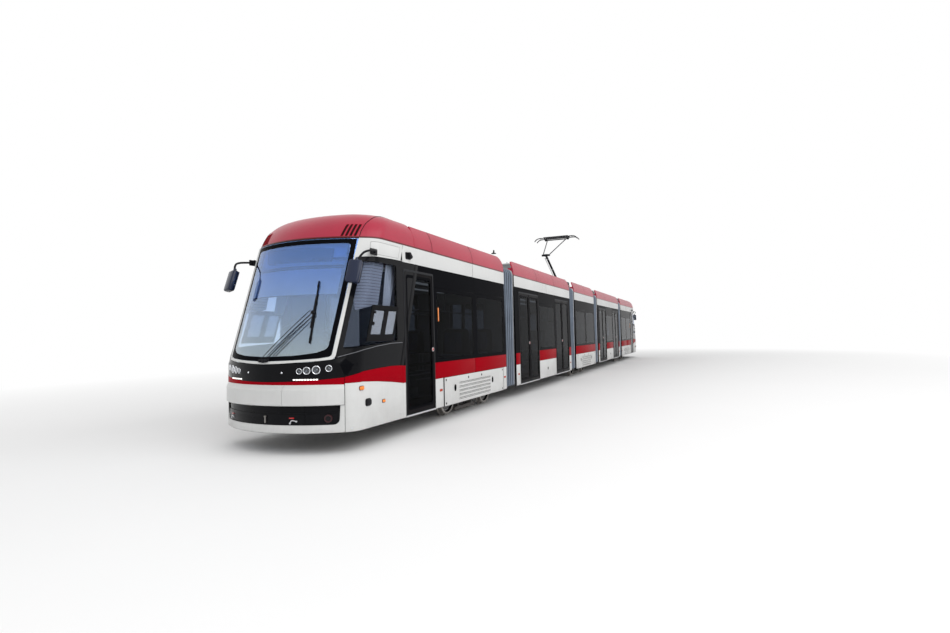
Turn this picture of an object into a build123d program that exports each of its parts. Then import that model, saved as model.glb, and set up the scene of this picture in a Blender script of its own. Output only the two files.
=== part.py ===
"""Five-section low-floor tram, full size, in millimetres.

+X runs along the tram and the front cab is at -X. Z is up, and z = 0 is at the tips of
the wheel flanges, 28 mm under the rail top. The tram is symmetric about y = 0, and its
rear half is its front half turned half a turn about Z.
"""

from build123d import *
from math import cos, radians, sin, sqrt, tan
import os

os.makedirs("parts", exist_ok=True)

# Driving sizes of the running gear
GAUGE = 1435
FLANGE = 28
WHEEL_R = 295
AXLE_R = 60
WHEELBASE = 1850
AXLE_Z = FLANGE + WHEEL_R

# Driving sizes of the car bodies along X
TRAM_LENGTH = 30000
CAB_CAR = 6300
DOOR_CAR = 5600
MID_CAR = 3400
JOINT_GAP = 700
NOSE_X = -TRAM_LENGTH / 2
CAB_END = NOSE_X + CAB_CAR
DOOR_CAR_X0 = CAB_END + JOINT_GAP
DOOR_CAR_X1 = DOOR_CAR_X0 + DOOR_CAR
MID_X0 = -MID_CAR / 2
PIVOT_1 = CAB_END + JOINT_GAP / 2
PIVOT_2 = MID_X0 - JOINT_GAP / 2
CAB_BOGIE_X = -10094
CAB_BACK = -13200
DOME_BACK = -12800

# Driving sizes of the body section
HALF = 1175
HALF_TOP = 1150
WALL = 50
SILL_Z = 300
KNEE_Z = 1204
BAND_Z = 2735
EAVES_Z = 3007
FAIRING_Z = 3380
ROOF_TOP = 3480
LOW_FLOOR = 380
HIGH_FLOOR = 450
FLOOR_T = 45
CEILING_Z = 2600
AISLE = 360
PODEST_Z = 730

# Nose: a round plan, upright below the windscreen and leaning back above its foot
NOSE_R = 1724
NOSE_CORNER = 300
MASK_X = -14925
LEAN = tan(radians(18.7))
DOME_R = 760
DOME_X = -13595
BUMPER_Z = (670, 935)
TOW_Z = (400, 664)
TOW_HALF = 1008
TOW_CORNER = 70

# Windscreen, cab window and its hole, as XZ outlines
SCREEN_HALF = 948
SCREEN_Z = (1240, 2995)
SCREEN_T = 10
CAB_WINDOW = [(-14590, 1390), (-14130, 2700), (-13345, 2700), (-13290, 1478)]
CAB_WINDOW_HOLE = [(-14534, 1430), (-14094, 2652), (-13386, 2655), (-13395, 1500)]

# Round lamps and the flat light bar below them
LAMPS = [
    # y, z, radius
    (540, 1125, 38),
    (636, 1132, 48),
    (753, 1140, 54),
    (897, 1157, 42),
]
LED_Y = (454, 776)
LED_Z = (1004, 1020)

# Eye for a drawbar's pin, behind the cover in the nose
TOW_X = -14640
TOW_EYE_Z = (480, 520)
TOW_EYE_R = 25

# Round dome over the cab
DOME_LEVELS = [
    # z, half width, corner radius
    (EAVES_Z, 1150, 300),
    (3180, 1130, 380),
    (3310, 1080, 460),
    (3405, 985, 510),
    (3458, 850, 500),
    (ROOF_TOP, 650, 400),
]
FAIRING_ROUND = 170

# Side layout of each kind of car: panes and doorways as X ranges
CAB_PANES = [(-12200, -10445), (-10437, -8760)]
CAB_DOORS = [(-13152, -12230)]
DOOR_PANES = [(-6060, -4330)]
DOOR_DOORS = [(-7673, -6086), (-4302, -2715)]
MID_PANES = [(-1640, -4), (4, 1640)]
PANE = 8
PANE_Z = (KNEE_Z - 94, BAND_Z - 8)
FRIT = 60
DOOR_Z = (325, 2600)
DOOR_GLASS_Z = (420, 2525)
DOOR_FRAME = 65

# Slots in the skirts beside the wheels: louvres as X ranges, with an oval slot beyond each end
CAB_LOUVRES = [(-11250, -9700)]
MID_LOUVRES = [(-775, 775)]
LOUVRES = 5
LOUVRE_Z = 359
LOUVRE_H = 26
LOUVRE_PITCH = 73.2
OVAL_OFF = (171, 126)
OVAL_Z = (515, 665)
OVAL_W = 34

# Gangway between two cars: portal, pleated bellows, fork and tongue, round floor plate
GANGWAY_HALF = 640
GANGWAY_TOP = 2350
PORTAL_T = 60
BELLOWS_HALF = 1130
BELLOWS_TOP = 3160
PLEATS = 7
FORK_Z = (325, 345, 375, 395)
TONGUE_Z = (351, 369)
HITCH_PIN_R = 40
TURN_R = 340

# Seats, grab poles, and the raised floor over a bogie with its pivot pin
SEAT_W = 430
SEAT_Y = 870
POLE_R = 17
BOGIE_WELL = 1370
PIN_R = 60
PIN_LOW = 250

# Bogie
BOGIES = [("front", CAB_BOGIE_X), ("mid", 0), ("rear", -CAB_BOGIE_X)]
BEAM_Y = 530
BEAM_HALF = 55
WHEEL_PROFILE = [
    # y from the centre line, radius
    (0, 0),
    (0, AXLE_R),
    (640, AXLE_R),
    (640, 105),
    (705, 115),
    (715, 238),
    (GAUGE / 2 - 32, 250),
    (GAUGE / 2 - 32, 310),
    (GAUGE / 2 - 26, WHEEL_R + FLANGE),
    (GAUGE / 2 - 12, WHEEL_R + FLANGE),
    (GAUGE / 2, WHEEL_R + 4),
    (GAUGE / 2 + 80, WHEEL_R),
    (GAUGE / 2 + 86, WHEEL_R - 6),
    (GAUGE / 2 + 86, 252),
    (765, 240),
    (755, 112),
    (790, 100),
    (790, 40),
    (770, 0),
]

# Mirror arm as x, y, z, and the wiper as y, z on the windscreen
MIRROR_ARM = [
    (-13975, 1140, 2795),
    (-13985, 1232, 2802),
    (-14215, 1236, 2776),
    (-14330, 1190, 2715),
    (-14372, 1143, 2590),
]
ARM_R = 17
ARM_BEND = 45
MIRROR_AT = (-14425, 1143, 2461)
MIRROR_SIZE = (100, 200, 340)
MIRROR_TILT = 20
WIPER_OFF = 45
WIPER_HUB = (-40, 1262)
WIPER_JOINT = (-697, 1930)
WIPER_BLADE = [(-657, 1494), (-790, 2335)]

# Pantograph, drawn raised as in service: foot, knee and head as x, z
FOOT = (450, 3640)
ARM = 1800
RAISE = radians(27.6)
KNEE = (FOOT[0] - ARM * cos(RAISE), FOOT[1] + ARM * sin(RAISE))
HEAD = (FOOT[0], FOOT[1] + 2 * ARM * sin(RAISE))


def outer_y(z):
    """Half width of the outer skin: upright to the knee, then leaning in to the eaves."""
    if z <= KNEE_Z:
        return HALF
    return HALF - (HALF - HALF_TOP) * (z - KNEE_Z) / (EAVES_Z - KNEE_Z)


def skin_strip(x0, x1, z0, z1, near, far, mode=Mode.ADD):
    """Both side strips between two depths under the outer skin."""
    heights = [z0, z1]
    if z0 < KNEE_Z < z1:
        heights = [z0, KNEE_Z, z1]
    for side in (-1, 1):
        with BuildSketch(Plane.YZ.offset(x0)) as strip:
            with BuildLine():
                outer = [(side * (outer_y(z) - near), z) for z in heights]
                inner = [(side * (outer_y(z) - far), z) for z in reversed(heights)]
                Polyline(*outer, *inner, close=True)
            make_face()
        extrude(strip.sketch, amount=x1 - x0, mode=mode)


def side_hole(x0, x1, z0, z1, corner, mode=Mode.SUBTRACT):
    """A rounded rectangle that runs through the whole tram along Y."""
    with BuildSketch(Plane.XZ) as hole:
        with Locations(((x0 + x1) / 2, (z0 + z1) / 2)):
            RectangleRounded(x1 - x0, z1 - z0, corner)
    extrude(hole.sketch, amount=2 * HALF, both=True, mode=mode)


def block(x0, x1, y0, y1, z0, z1, mode=Mode.ADD):
    """A box by its two corners."""
    with Locations(((x0 + x1) / 2, (y0 + y1) / 2, (z0 + z1) / 2)):
        Box(x1 - x0, y1 - y0, z1 - z0, mode=mode)


def bar(start, end, width, height):
    """A straight bar of rectangular section between two points."""
    start = Vector(*start)
    run = Vector(*end) - start
    with BuildSketch(Plane(origin=start, z_dir=run.normalized())) as section:
        Rectangle(width, height)
    extrude(section.sketch, amount=run.length)


def tube(start, end, radius):
    """A straight round bar between two points."""
    start = Vector(*start)
    run = Vector(*end) - start
    with BuildSketch(Plane(origin=start, z_dir=run.normalized())) as section:
        Circle(radius)
    extrude(section.sketch, amount=run.length)


def nose_plan(z, tip, half, radius, corner, back):
    """The nose's plan at one height: a round front, rounded corners, straight sides."""
    with BuildSketch(Plane.XY.offset(z)) as plan:
        with Locations((tip + radius, 0)):
            Circle(radius)
        with Locations(((tip + back) / 2, 0)):
            Rectangle(back - tip, 2 * half, mode=Mode.INTERSECT)
        fillet(plan.vertices().sort_by(Axis.X)[0:2], corner)
    return plan.sketch


def nose_solid(depth, grow=0, mode=Mode.ADD):
    """The solid nose under a depth of skin, upright to the knee and then leaning back."""
    lean_top = MASK_X + LEAN * (EAVES_Z - KNEE_Z)
    levels = [
        # z, tip, half width
        (SILL_Z - grow, MASK_X, HALF),
        (KNEE_Z, MASK_X, HALF),
        (EAVES_Z, lean_top, HALF_TOP),
    ]
    if grow:
        levels.append((EAVES_Z + grow, lean_top + LEAN * grow, HALF_TOP))
    back = CAB_BACK + grow
    sections = []
    for z, tip, half in levels:
        plan = nose_plan(z, tip + depth, half - depth, NOSE_R - depth, NOSE_CORNER - depth, back)
        sections.append(plan)
    loft(sections, ruled=True, mode=mode)


def nose_x(y, z):
    """X of the nose's outer skin in front, at one width and height."""
    lean = max(z - KNEE_Z, 0) * LEAN
    return MASK_X + lean + NOSE_R - sqrt(NOSE_R**2 - y**2)


def save(piece, name):
    """Label a finished piece and write it."""
    piece.label = name
    export_step(piece, f"parts/{name}.step")


def save_both_ends(piece, name):
    """Write a front piece, and its twin at the rear, half a turn about Z away."""
    save(piece, f"front_{name}")
    save(piece.rotate(Axis.Z, 180), f"rear_{name}")


def portal(x0, x1):
    """The frame at a car's end, round the gangway."""
    top = EAVES_Z - 10
    with BuildSketch(Plane.YZ.offset(x0)) as ring:
        with BuildLine():
            right = [(HALF - WALL, HIGH_FLOOR), (HALF - WALL, KNEE_Z), (HALF_TOP - WALL, top)]
            left = [(-y, z) for y, z in reversed(right)]
            Polyline(*right, *left, close=True)
        make_face()
        with Locations((0, (HIGH_FLOOR + GANGWAY_TOP) / 2)):
            Rectangle(2 * GANGWAY_HALF, GANGWAY_TOP - HIGH_FLOOR, mode=Mode.SUBTRACT)
    extrude(ring.sketch, amount=x1 - x0)


def car_walls(x0, x1, portals, panes, doors, louvres):
    """Both side walls of one car with its end portals, window holes and doorways."""
    skin_strip(x0, x1, SILL_Z, EAVES_Z, 0, WALL)
    for px in portals:
        portal(px, px + PORTAL_T)
    for w0, w1 in panes:
        skin_strip(w0, w1, *PANE_Z, -5, PANE, mode=Mode.SUBTRACT)
        side_hole(w0 + FRIT, w1 - FRIT, PANE_Z[0] + FRIT, PANE_Z[1] - 3 * FRIT, 60)
    for d0, d1 in doors:
        side_hole(d0, d1, DOOR_Z[0], DOOR_Z[1], 8)
    for l0, l1 in louvres:
        for rib in range(LOUVRES):
            z = LOUVRE_Z + rib * LOUVRE_PITCH
            skin_strip(l0, l1, z, z + LOUVRE_H, -5, 14, mode=Mode.SUBTRACT)
        for ox in (l0 - OVAL_OFF[0], l1 + OVAL_OFF[1]):
            side_hole(ox - OVAL_W / 2, ox + OVAL_W / 2, *OVAL_Z, OVAL_W / 2 - 1)


def car_panes(panes):
    """Flush side panes."""
    for w0, w1 in panes:
        skin_strip(w0, w1, *PANE_Z, 0, PANE)


def door_spans(doors):
    """One leaf in a narrow doorway, two in a wide one."""
    spans = []
    for d0, d1 in doors:
        leaves = 2 if d1 - d0 > 1200 else 1
        width = (d1 - d0) / leaves
        for k in range(leaves):
            spans.append((d0 + k * width + 4, d0 + (k + 1) * width - 4))
    return spans


def door_leaves(doors):
    """Door leaves as frames round their glass."""
    for d0, d1 in door_spans(doors):
        skin_strip(d0, d1, DOOR_Z[0] + 5, DOOR_Z[1] - 5, -2, 40)
        side_hole(d0 + DOOR_FRAME, d1 - DOOR_FRAME, *DOOR_GLASS_Z, 50)


def door_glass(doors):
    """The glass that fills each door leaf's frame."""
    spans = door_spans(doors)
    with BuildPart() as strips:
        for d0, d1 in spans:
            skin_strip(d0, d1, *DOOR_Z, 4, 12)
    with BuildPart() as panes:
        for d0, d1 in spans:
            side_hole(d0 + DOOR_FRAME, d1 - DOOR_FRAME, *DOOR_GLASS_Z, 50, Mode.ADD)
        add(strips.part, mode=Mode.INTERSECT)
    return panes.part


def roof_shell(x0, x1, closed_ends):
    """Roof plate, ceiling on two ducts, and the curved fairings along both edges."""
    block(x0, x1, -HALF_TOP, HALF_TOP, EAVES_Z, EAVES_Z + 33)
    lining_x0 = x0 + PORTAL_T if x0 in closed_ends else x0
    lining_x1 = x1 - PORTAL_T
    block(lining_x0, lining_x1, -1095, 1095, CEILING_Z, CEILING_Z + 30)
    for side in (-1, 1):
        block(lining_x0, lining_x1, side * 700 - 20, side * 700 + 20, CEILING_Z + 30, EAVES_Z)
        with BuildSketch(Plane.YZ.offset(x0)) as rim:
            with BuildLine():
                foot = (side * HALF_TOP, EAVES_Z)
                lip = (side * 1045, FAIRING_Z)
                ThreePointArc(foot, (side * 1124, 3210), lip)
                Line(lip, (side * 1015, FAIRING_Z - 12))
                ThreePointArc((side * 1015, FAIRING_Z - 12), (side * 1090, 3205), (side * 1114, EAVES_Z))
                Line((side * 1114, EAVES_Z), foot)
            make_face()
        extrude(rim.sketch, amount=x1 - x0)
    for ex in closed_ends:
        block(ex, ex + 40, -1095, 1095, EAVES_Z, 3200)


def round_roof_ends(ends):
    """Round the fairings' upper corners at the car's free ends."""
    for ex, toward in ends:
        with BuildSketch(Plane.XZ) as corner:
            with Locations((ex + toward * FAIRING_ROUND / 2, FAIRING_Z - FAIRING_ROUND / 2 + 5)):
                Rectangle(FAIRING_ROUND, FAIRING_ROUND + 10)
            with Locations((ex + toward * FAIRING_ROUND, FAIRING_Z - FAIRING_ROUND)):
                Circle(FAIRING_ROUND, mode=Mode.SUBTRACT)
        extrude(corner.sketch, amount=2 * HALF, both=True, mode=Mode.SUBTRACT)


def roof_boxes(boxes):
    """Equipment boxes between the fairings."""
    for x0, x1, half, height in boxes:
        block(x0, x1, -half, half, EAVES_Z + 33, EAVES_Z + 33 + height)


def floor_run(points, half, thick=FLOOR_T):
    """A floor strip of one width that follows X and Z points along its top."""
    with BuildSketch(Plane.XZ) as run:
        with BuildLine():
            under = [(x, z - thick) for x, z in reversed(points)]
            Polyline(*points, *under, close=True)
        make_face()
    extrude(run.sketch, amount=half, both=True)


def bogie_podests(centre, x_min, x_max):
    """Raised boxes over the wheels on both sides of the aisle."""
    x0 = max(centre - BOGIE_WELL, x_min)
    x1 = min(centre + BOGIE_WELL, x_max)
    for side in (-1, 1):
        inner, outer = sorted((side * (AISLE + 30), side * (HALF - WALL)))
        wall0, wall1 = sorted((side * (AISLE + 30), side * (AISLE + 60)))
        block(x0, x1, inner, outer, PODEST_Z - 30, PODEST_Z)
        block(x0, x1, wall0, wall1, HIGH_FLOOR - FLOOR_T, PODEST_Z)
        for ex in (x0, x1 - 30):
            block(ex, ex + 30, inner, outer, HIGH_FLOOR - FLOOR_T, PODEST_Z)


def pivot_pin(centre):
    """The pin under the floor that a bogie turns on."""
    with Locations((centre, 0, (PIN_LOW + HIGH_FLOOR - FLOOR_T) / 2)):
        Cylinder(PIN_R, HIGH_FLOOR - FLOOR_T - PIN_LOW)


def fork(pivot, end):
    """Two fork plates, the hitch pin and the gangway's round plate, on the inner car."""
    toward = 1 if end > pivot else -1
    for z0, z1 in (FORK_Z[0:2], FORK_Z[2:4]):
        x0, x1 = sorted((pivot, end + toward * 60))
        block(x0, x1, -140, 140, z0, z1)
        with Locations((pivot, 0, (z0 + z1) / 2)):
            Cylinder(140, z1 - z0)
    with Locations((pivot, 0, (FORK_Z[0] + FORK_Z[3]) / 2)):
        Cylinder(HITCH_PIN_R, FORK_Z[3] - FORK_Z[0])
    x0, x1 = sorted((pivot, end))
    block(x0, x1, -TURN_R, TURN_R, HIGH_FLOOR - 30, HIGH_FLOOR)
    with Locations((pivot, 0, HIGH_FLOOR - 15)):
        Cylinder(TURN_R, 30)
    x0, x1 = sorted((end, end + toward * 80))
    block(x0, x1, -140, 140, FORK_Z[0], HIGH_FLOOR - 20)


def tongue(pivot, end):
    """The tongue round the hitch pin, and the gangway plate cut to the round one."""
    toward = 1 if end > pivot else -1
    x0, x1 = sorted((pivot, end + toward * 60))
    block(x0, x1, -110, 110, *TONGUE_Z)
    with Locations((pivot, 0, sum(TONGUE_Z) / 2)):
        Cylinder(110, TONGUE_Z[1] - TONGUE_Z[0])
        Cylinder(HITCH_PIN_R + 1, TONGUE_Z[1] - TONGUE_Z[0], mode=Mode.SUBTRACT)
    x0, x1 = sorted((end, end + toward * 80))
    block(x0, x1, -110, 110, TONGUE_Z[0], HIGH_FLOOR - 20)
    x0, x1 = sorted((pivot + toward * 150, end))
    block(x0, x1, -480, 480, HIGH_FLOOR - 30, HIGH_FLOOR)
    with Locations((pivot, 0, HIGH_FLOOR - 15)):
        Cylinder(TURN_R + 8, 30, mode=Mode.SUBTRACT)


# Underframes

with BuildPart() as cab_floor_outline:
    nose_solid(WALL)

with BuildPart() as cab_underframe:
    block(-14500, CAB_BACK, -HALF, HALF, LOW_FLOOR - 80, LOW_FLOOR)
    add(cab_floor_outline.part, mode=Mode.INTERSECT)
    block(CAB_BACK, CAB_BOGIE_X - BOGIE_WELL, -HALF + WALL, HALF - WALL, LOW_FLOOR - 80, LOW_FLOOR)
    ramp_foot = CAB_BOGIE_X - BOGIE_WELL - 500
    floor_run(
        [(ramp_foot, LOW_FLOOR), (ramp_foot + 800, HIGH_FLOOR), (CAB_END, HIGH_FLOOR)], AISLE + 30
    )
    pivot_pin(CAB_BOGIE_X)
    tongue(PIVOT_1, CAB_END)
    block(TOW_X + 80, TOW_X + 160, -100, 100, LOW_FLOOR - 80, TOW_EYE_Z[1])
    block(TOW_X - 60, TOW_X + 160, -60, 60, *TOW_EYE_Z)
    with Locations((TOW_X, 0, sum(TOW_EYE_Z) / 2)):
        Cylinder(TOW_EYE_R, TOW_EYE_Z[1] - TOW_EYE_Z[0], mode=Mode.SUBTRACT)
save_both_ends(cab_underframe.part, "cab_car_underframe")

with BuildPart() as door_underframe:
    floor_run(
        [
            (DOOR_CAR_X0, HIGH_FLOOR),
            (DOOR_CAR_X0 + 327, LOW_FLOOR),
            (DOOR_CAR_X1 - 315, LOW_FLOOR),
            (DOOR_CAR_X1, HIGH_FLOOR),
        ],
        HALF - WALL,
        80,
    )
    fork(PIVOT_1, DOOR_CAR_X0)
    tongue(PIVOT_2, DOOR_CAR_X1)
save_both_ends(door_underframe.part, "door_car_underframe")

with BuildPart() as mid_underframe:
    floor_run([(MID_X0, HIGH_FLOOR), (-MID_X0, HIGH_FLOOR)], AISLE + 30)
    pivot_pin(0)
    for end in (MID_X0, -MID_X0 - 300):
        block(end, end + 300, -HALF + WALL, HALF - WALL, HIGH_FLOOR - FLOOR_T, HIGH_FLOOR)
    fork(PIVOT_2, MID_X0)
    fork(-PIVOT_2, -MID_X0)
save(mid_underframe.part, "mid_car_underframe")

# Car walls with their portals

with BuildPart() as cab_walls:
    car_walls(CAB_BACK, CAB_END, [CAB_END - PORTAL_T], CAB_PANES, CAB_DOORS, CAB_LOUVRES)
save_both_ends(cab_walls.part, "cab_car_walls")

with BuildPart() as door_walls:
    ends = [DOOR_CAR_X0, DOOR_CAR_X1 - PORTAL_T]
    car_walls(DOOR_CAR_X0, DOOR_CAR_X1, ends, DOOR_PANES, DOOR_DOORS, [])
save_both_ends(door_walls.part, "door_car_walls")

with BuildPart() as mid_walls:
    car_walls(MID_X0, -MID_X0, [MID_X0, -MID_X0 - PORTAL_T], MID_PANES, [], MID_LOUVRES)
save(mid_walls.part, "mid_car_walls")

# Cab shell: windscreen, side window and lamp holes in one round shell

def outline_prism(points):
    """An XZ outline run through the whole tram along Y."""
    with BuildSketch(Plane.XZ) as outline:
        with BuildLine():
            Polyline(*points, close=True)
        make_face()
    extrude(outline.sketch, amount=2 * HALF, both=True)


def skin_between(near, far):
    """A layer of the nose's skin between two depths, as a separate part."""
    with BuildPart() as layer:
        nose_solid(near)
        nose_solid(far, 20, Mode.SUBTRACT)
    return layer.part


def lamp_bores(shrink):
    """Round lamp bodies and the flat light bars below them, along X."""
    with BuildPart() as bores:
        for side in (-1, 1):
            for y, z, radius in LAMPS:
                tube((-15100, side * y, z), (-14000, side * y, z), radius - shrink)
            y0, y1 = sorted((side * LED_Y[0], side * LED_Y[1]))
            block(-15100, -14000, y0, y1, *LED_Z)
    return bores.part


def tow_opening(mode=Mode.ADD):
    """The opening round the tow cover, with rounded lower corners."""
    with BuildSketch(Plane.YZ.offset(-15200)) as opening:
        with Locations((0, sum(TOW_Z) / 2)):
            Rectangle(2 * TOW_HALF, TOW_Z[1] - TOW_Z[0])
        fillet(opening.vertices().group_by(Axis.Z)[0], TOW_CORNER)
    extrude(opening.sketch, amount=900, mode=mode)


with BuildPart() as screen_layer:
    add(skin_between(0, SCREEN_T))
    block(-15200, -13900, -SCREEN_HALF, SCREEN_HALF, *SCREEN_Z, mode=Mode.INTERSECT)

with BuildPart() as cab_window_layer:
    outline_prism(CAB_WINDOW)
    add(skin_between(0, PANE), mode=Mode.INTERSECT)

with BuildPart() as cab_window_holes:
    outline_prism(CAB_WINDOW_HOLE)

with BuildPart() as cab_shell:
    add(skin_between(0, WALL))
    add(screen_layer.part, mode=Mode.SUBTRACT)
    add(cab_window_layer.part, mode=Mode.SUBTRACT)
    hole_half = SCREEN_HALF - FRIT
    hole_z = (SCREEN_Z[0] + FRIT, SCREEN_Z[1] - FRIT)
    block(-15200, -13900, -hole_half, hole_half, *hole_z, mode=Mode.SUBTRACT)
    add(cab_window_holes.part, mode=Mode.SUBTRACT)
    add(lamp_bores(0), mode=Mode.SUBTRACT)
    tow_opening(Mode.SUBTRACT)
save_both_ends(cab_shell.part, "cab_shell")

with BuildPart() as cab_lamps:
    add(skin_between(4, 44))
    add(lamp_bores(0), mode=Mode.INTERSECT)
save_both_ends(cab_lamps.part, "cab_lamps")

# Bumper and the black cover over the tow coupler

with BuildPart() as bumper:
    loft([nose_plan(z, NOSE_X, HALF + 25, NOSE_R, 260, CAB_BACK) for z in BUMPER_Z], ruled=True)
    levels = (BUMPER_Z[0] - 5, BUMPER_Z[1] + 5)
    behind = [nose_plan(z, MASK_X, HALF, NOSE_R, NOSE_CORNER, CAB_BACK + 50) for z in levels]
    loft(behind, ruled=True, mode=Mode.SUBTRACT)
    block(-15100, -14540, -HALF, HALF, *BUMPER_Z, mode=Mode.INTERSECT)
save_both_ends(bumper.part, "bumper")

with BuildPart() as tow_cover:
    add(skin_between(20, 45))
    tow_opening(Mode.INTERSECT)
save_both_ends(tow_cover.part, "tow_cover")

# Glazing

with BuildPart() as cab_glass:
    add(screen_layer.part)
    add(cab_window_layer.part)
    car_panes(CAB_PANES)
    add(door_glass(CAB_DOORS))
save_both_ends(cab_glass.part, "cab_car_glass")

with BuildPart() as door_car_glass:
    car_panes(DOOR_PANES)
    add(door_glass(DOOR_DOORS))
save_both_ends(door_car_glass.part, "door_car_glass")

with BuildPart() as mid_glass:
    car_panes(MID_PANES)
save(mid_glass.part, "mid_car_glass")

# Doors

with BuildPart() as cab_car_doors:
    door_leaves(CAB_DOORS)
save_both_ends(cab_car_doors.part, "cab_car_doors")

with BuildPart() as door_car_doors:
    door_leaves(DOOR_DOORS)
save_both_ends(door_car_doors.part, "door_car_doors")

# Roofs

def dome(depth, back, mode=Mode.ADD):
    """The round dome over the cab, under a depth of skin."""
    sections = []
    for z, half, corner in DOME_LEVELS:
        rise = min(z - (ROOF_TOP - DOME_R), DOME_R)
        tip = DOME_X - sqrt(DOME_R**2 - rise**2) + depth
        level = z - depth
        sections.append(nose_plan(level, tip, half - depth, NOSE_R - depth, corner - depth, back))
    loft(sections, mode=mode)


with BuildPart() as cab_roof:
    dome(0, DOME_BACK)
    dome(40, DOME_BACK - 40, Mode.SUBTRACT)
    roof_shell(DOME_BACK, CAB_END, [CAB_END - 40])
    block(-13950, DOME_BACK, -1000, 1000, CEILING_Z, CEILING_Z + 30)
    block(DOME_BACK - 40, DOME_BACK, -1095, 1095, CEILING_Z, EAVES_Z + 33)
    round_roof_ends([(CAB_END, -1)])
    roof_boxes([(-12500, -11400, 800, 330), (-11200, -9300, 860, 360)])
save_both_ends(cab_roof.part, "cab_car_roof")

with BuildPart() as door_roof:
    roof_shell(DOOR_CAR_X0, DOOR_CAR_X1, [DOOR_CAR_X0, DOOR_CAR_X1 - 40])
    round_roof_ends([(DOOR_CAR_X0, 1), (DOOR_CAR_X1, -1)])
    roof_boxes([(-7500, -5700, 860, 340), (-5300, -3200, 820, 370)])
save_both_ends(door_roof.part, "door_car_roof")

with BuildPart() as mid_roof:
    roof_shell(MID_X0, -MID_X0, [MID_X0, -MID_X0 - 40])
    round_roof_ends([(MID_X0, 1), (-MID_X0, -1)])
    roof_boxes([(-1400, -500, 700, 160), (900, 1400, 700, 160)])
save(mid_roof.part, "mid_car_roof")

# Interiors: seats and grab poles

def seat(x, y, z, facing):
    """One seat on its pedestal. Facing is -1 towards -X and 1 towards +X."""
    back = x - facing * 200
    block(x - 160, x + 160, y - 130, y + 130, z, z + 400)
    block(x - 220, x + 220, y - SEAT_W / 2, y + SEAT_W / 2, z + 400, z + 450)
    b0, b1 = sorted((back - facing * 20, back + facing * 30))
    block(b0, b1, y - SEAT_W / 2, y + SEAT_W / 2, z + 440, z + 1000)


def poles(places, z):
    """Vertical grab poles from the floor to the ceiling."""
    for x, y in places:
        tube((x, y, z), (x, y, CEILING_Z), POLE_R)


with BuildPart() as cab_interior:
    bogie_podests(CAB_BOGIE_X, CAB_BOGIE_X - BOGIE_WELL, CAB_END - PORTAL_T)
    for x, facing in ((-11100, -1), (-10300, 1), (-9800, -1), (-9100, 1)):
        for side in (-1, 1):
            seat(x, side * SEAT_Y, PODEST_Z, facing)
    poles([(-12000, -420), (-12000, 420)], LOW_FLOOR)
save_both_ends(cab_interior.part, "cab_car_interior")

with BuildPart() as cab_desk:
    block(-13235, CAB_BACK, -1090, 1090, LOW_FLOOR, CEILING_Z)
    block(-13240, CAB_BACK + 5, -350, 350, 1100, 2400, Mode.SUBTRACT)
    block(-14450, -13235, -900, 900, LOW_FLOOR, 600)
    block(-14450, -14200, -800, 800, 600, 1150)
    block(-13950, -13550, -240, 240, 1000, 1080)
    tube((-13750, 0, 600), (-13750, 0, 1000), 60)
    block(-13610, -13540, -230, 230, 1060, 1700)
save_both_ends(cab_desk.part, "cab_desk_and_seat")

with BuildPart() as door_interior:
    for x, facing in ((-5800, -1), (-4600, 1)):
        for side in (-1, 1):
            seat(x, side * SEAT_Y, LOW_FLOOR, facing)
    poles([(-6350, -500), (-6350, 500), (-4050, -500), (-4050, 500)], LOW_FLOOR)
save_both_ends(door_interior.part, "door_car_interior")

with BuildPart() as mid_interior:
    bogie_podests(0, -1400, 1400)
    for x, facing in ((-900, -1), (-200, 1), (200, -1), (900, 1)):
        for side in (-1, 1):
            seat(x, side * SEAT_Y, PODEST_Z, facing)
save(mid_interior.part, "mid_car_interior")

# Mirrors and wiper

with BuildPart() as mirrors:
    for side in (-1, 1):
        path = [(x, side * y, z) for x, y, z in MIRROR_ARM]
        with BuildLine() as arm:
            FilletPolyline(*path, radius=ARM_BEND)
        with BuildSketch(Plane(origin=arm.line @ 0, z_dir=arm.line % 0)) as arm_section:
            Circle(ARM_R)
        sweep(arm_section.sketch, path=arm.line)
        with Locations(Location((MIRROR_AT[0], side * MIRROR_AT[1], MIRROR_AT[2]), (0, MIRROR_TILT, 0))):
            Box(*MIRROR_SIZE)
save_both_ends(mirrors.part, "mirrors")

def on_screen(y, z, off):
    """A point in front of the windscreen."""
    return (nose_x(y, z) - off, y, z)


with BuildPart() as wiper:
    for dy in (-35, 35):
        hub = on_screen(WIPER_HUB[0] + dy, WIPER_HUB[1], WIPER_OFF)
        joint = on_screen(WIPER_JOINT[0] + dy * 0.4, WIPER_JOINT[1], WIPER_OFF)
        bar(hub, joint, 16, 10)
    low = on_screen(*WIPER_BLADE[0], WIPER_OFF - 20)
    high = on_screen(*WIPER_BLADE[1], WIPER_OFF - 20)
    bar(low, high, 26, 22)
    for dy in (-35, 35):
        hub = on_screen(WIPER_HUB[0] + dy, WIPER_HUB[1], WIPER_OFF + 12)
        tube(hub, (hub[0] + WIPER_OFF + 17, hub[1], hub[2]), 16)
    joint = on_screen(*WIPER_JOINT, WIPER_OFF - 30)
    tube(joint, (joint[0] - 40, joint[1], joint[2]), 24)
    add(screen_layer.part, mode=Mode.SUBTRACT)
    add(cab_shell.part, mode=Mode.SUBTRACT)
save_both_ends(wiper.part, "wiper")

# Bellows: an upturned U of pleats

def pleat_arch(x0, x1, half, top, thick):
    """One ring of the bellows, open at its foot."""
    with BuildSketch(Plane.YZ.offset(x0)) as arch:
        with Locations((0, (SILL_Z + 20 + top) / 2)):
            Rectangle(2 * half, top - SILL_Z - 20)
        fillet(arch.vertices().group_by(Axis.Z)[-1], 120)
        with Locations((0, (SILL_Z + top - thick) / 2)):
            Rectangle(2 * (half - thick), top - thick - SILL_Z, mode=Mode.SUBTRACT)
    extrude(arch.sketch, amount=x1 - x0)


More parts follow.
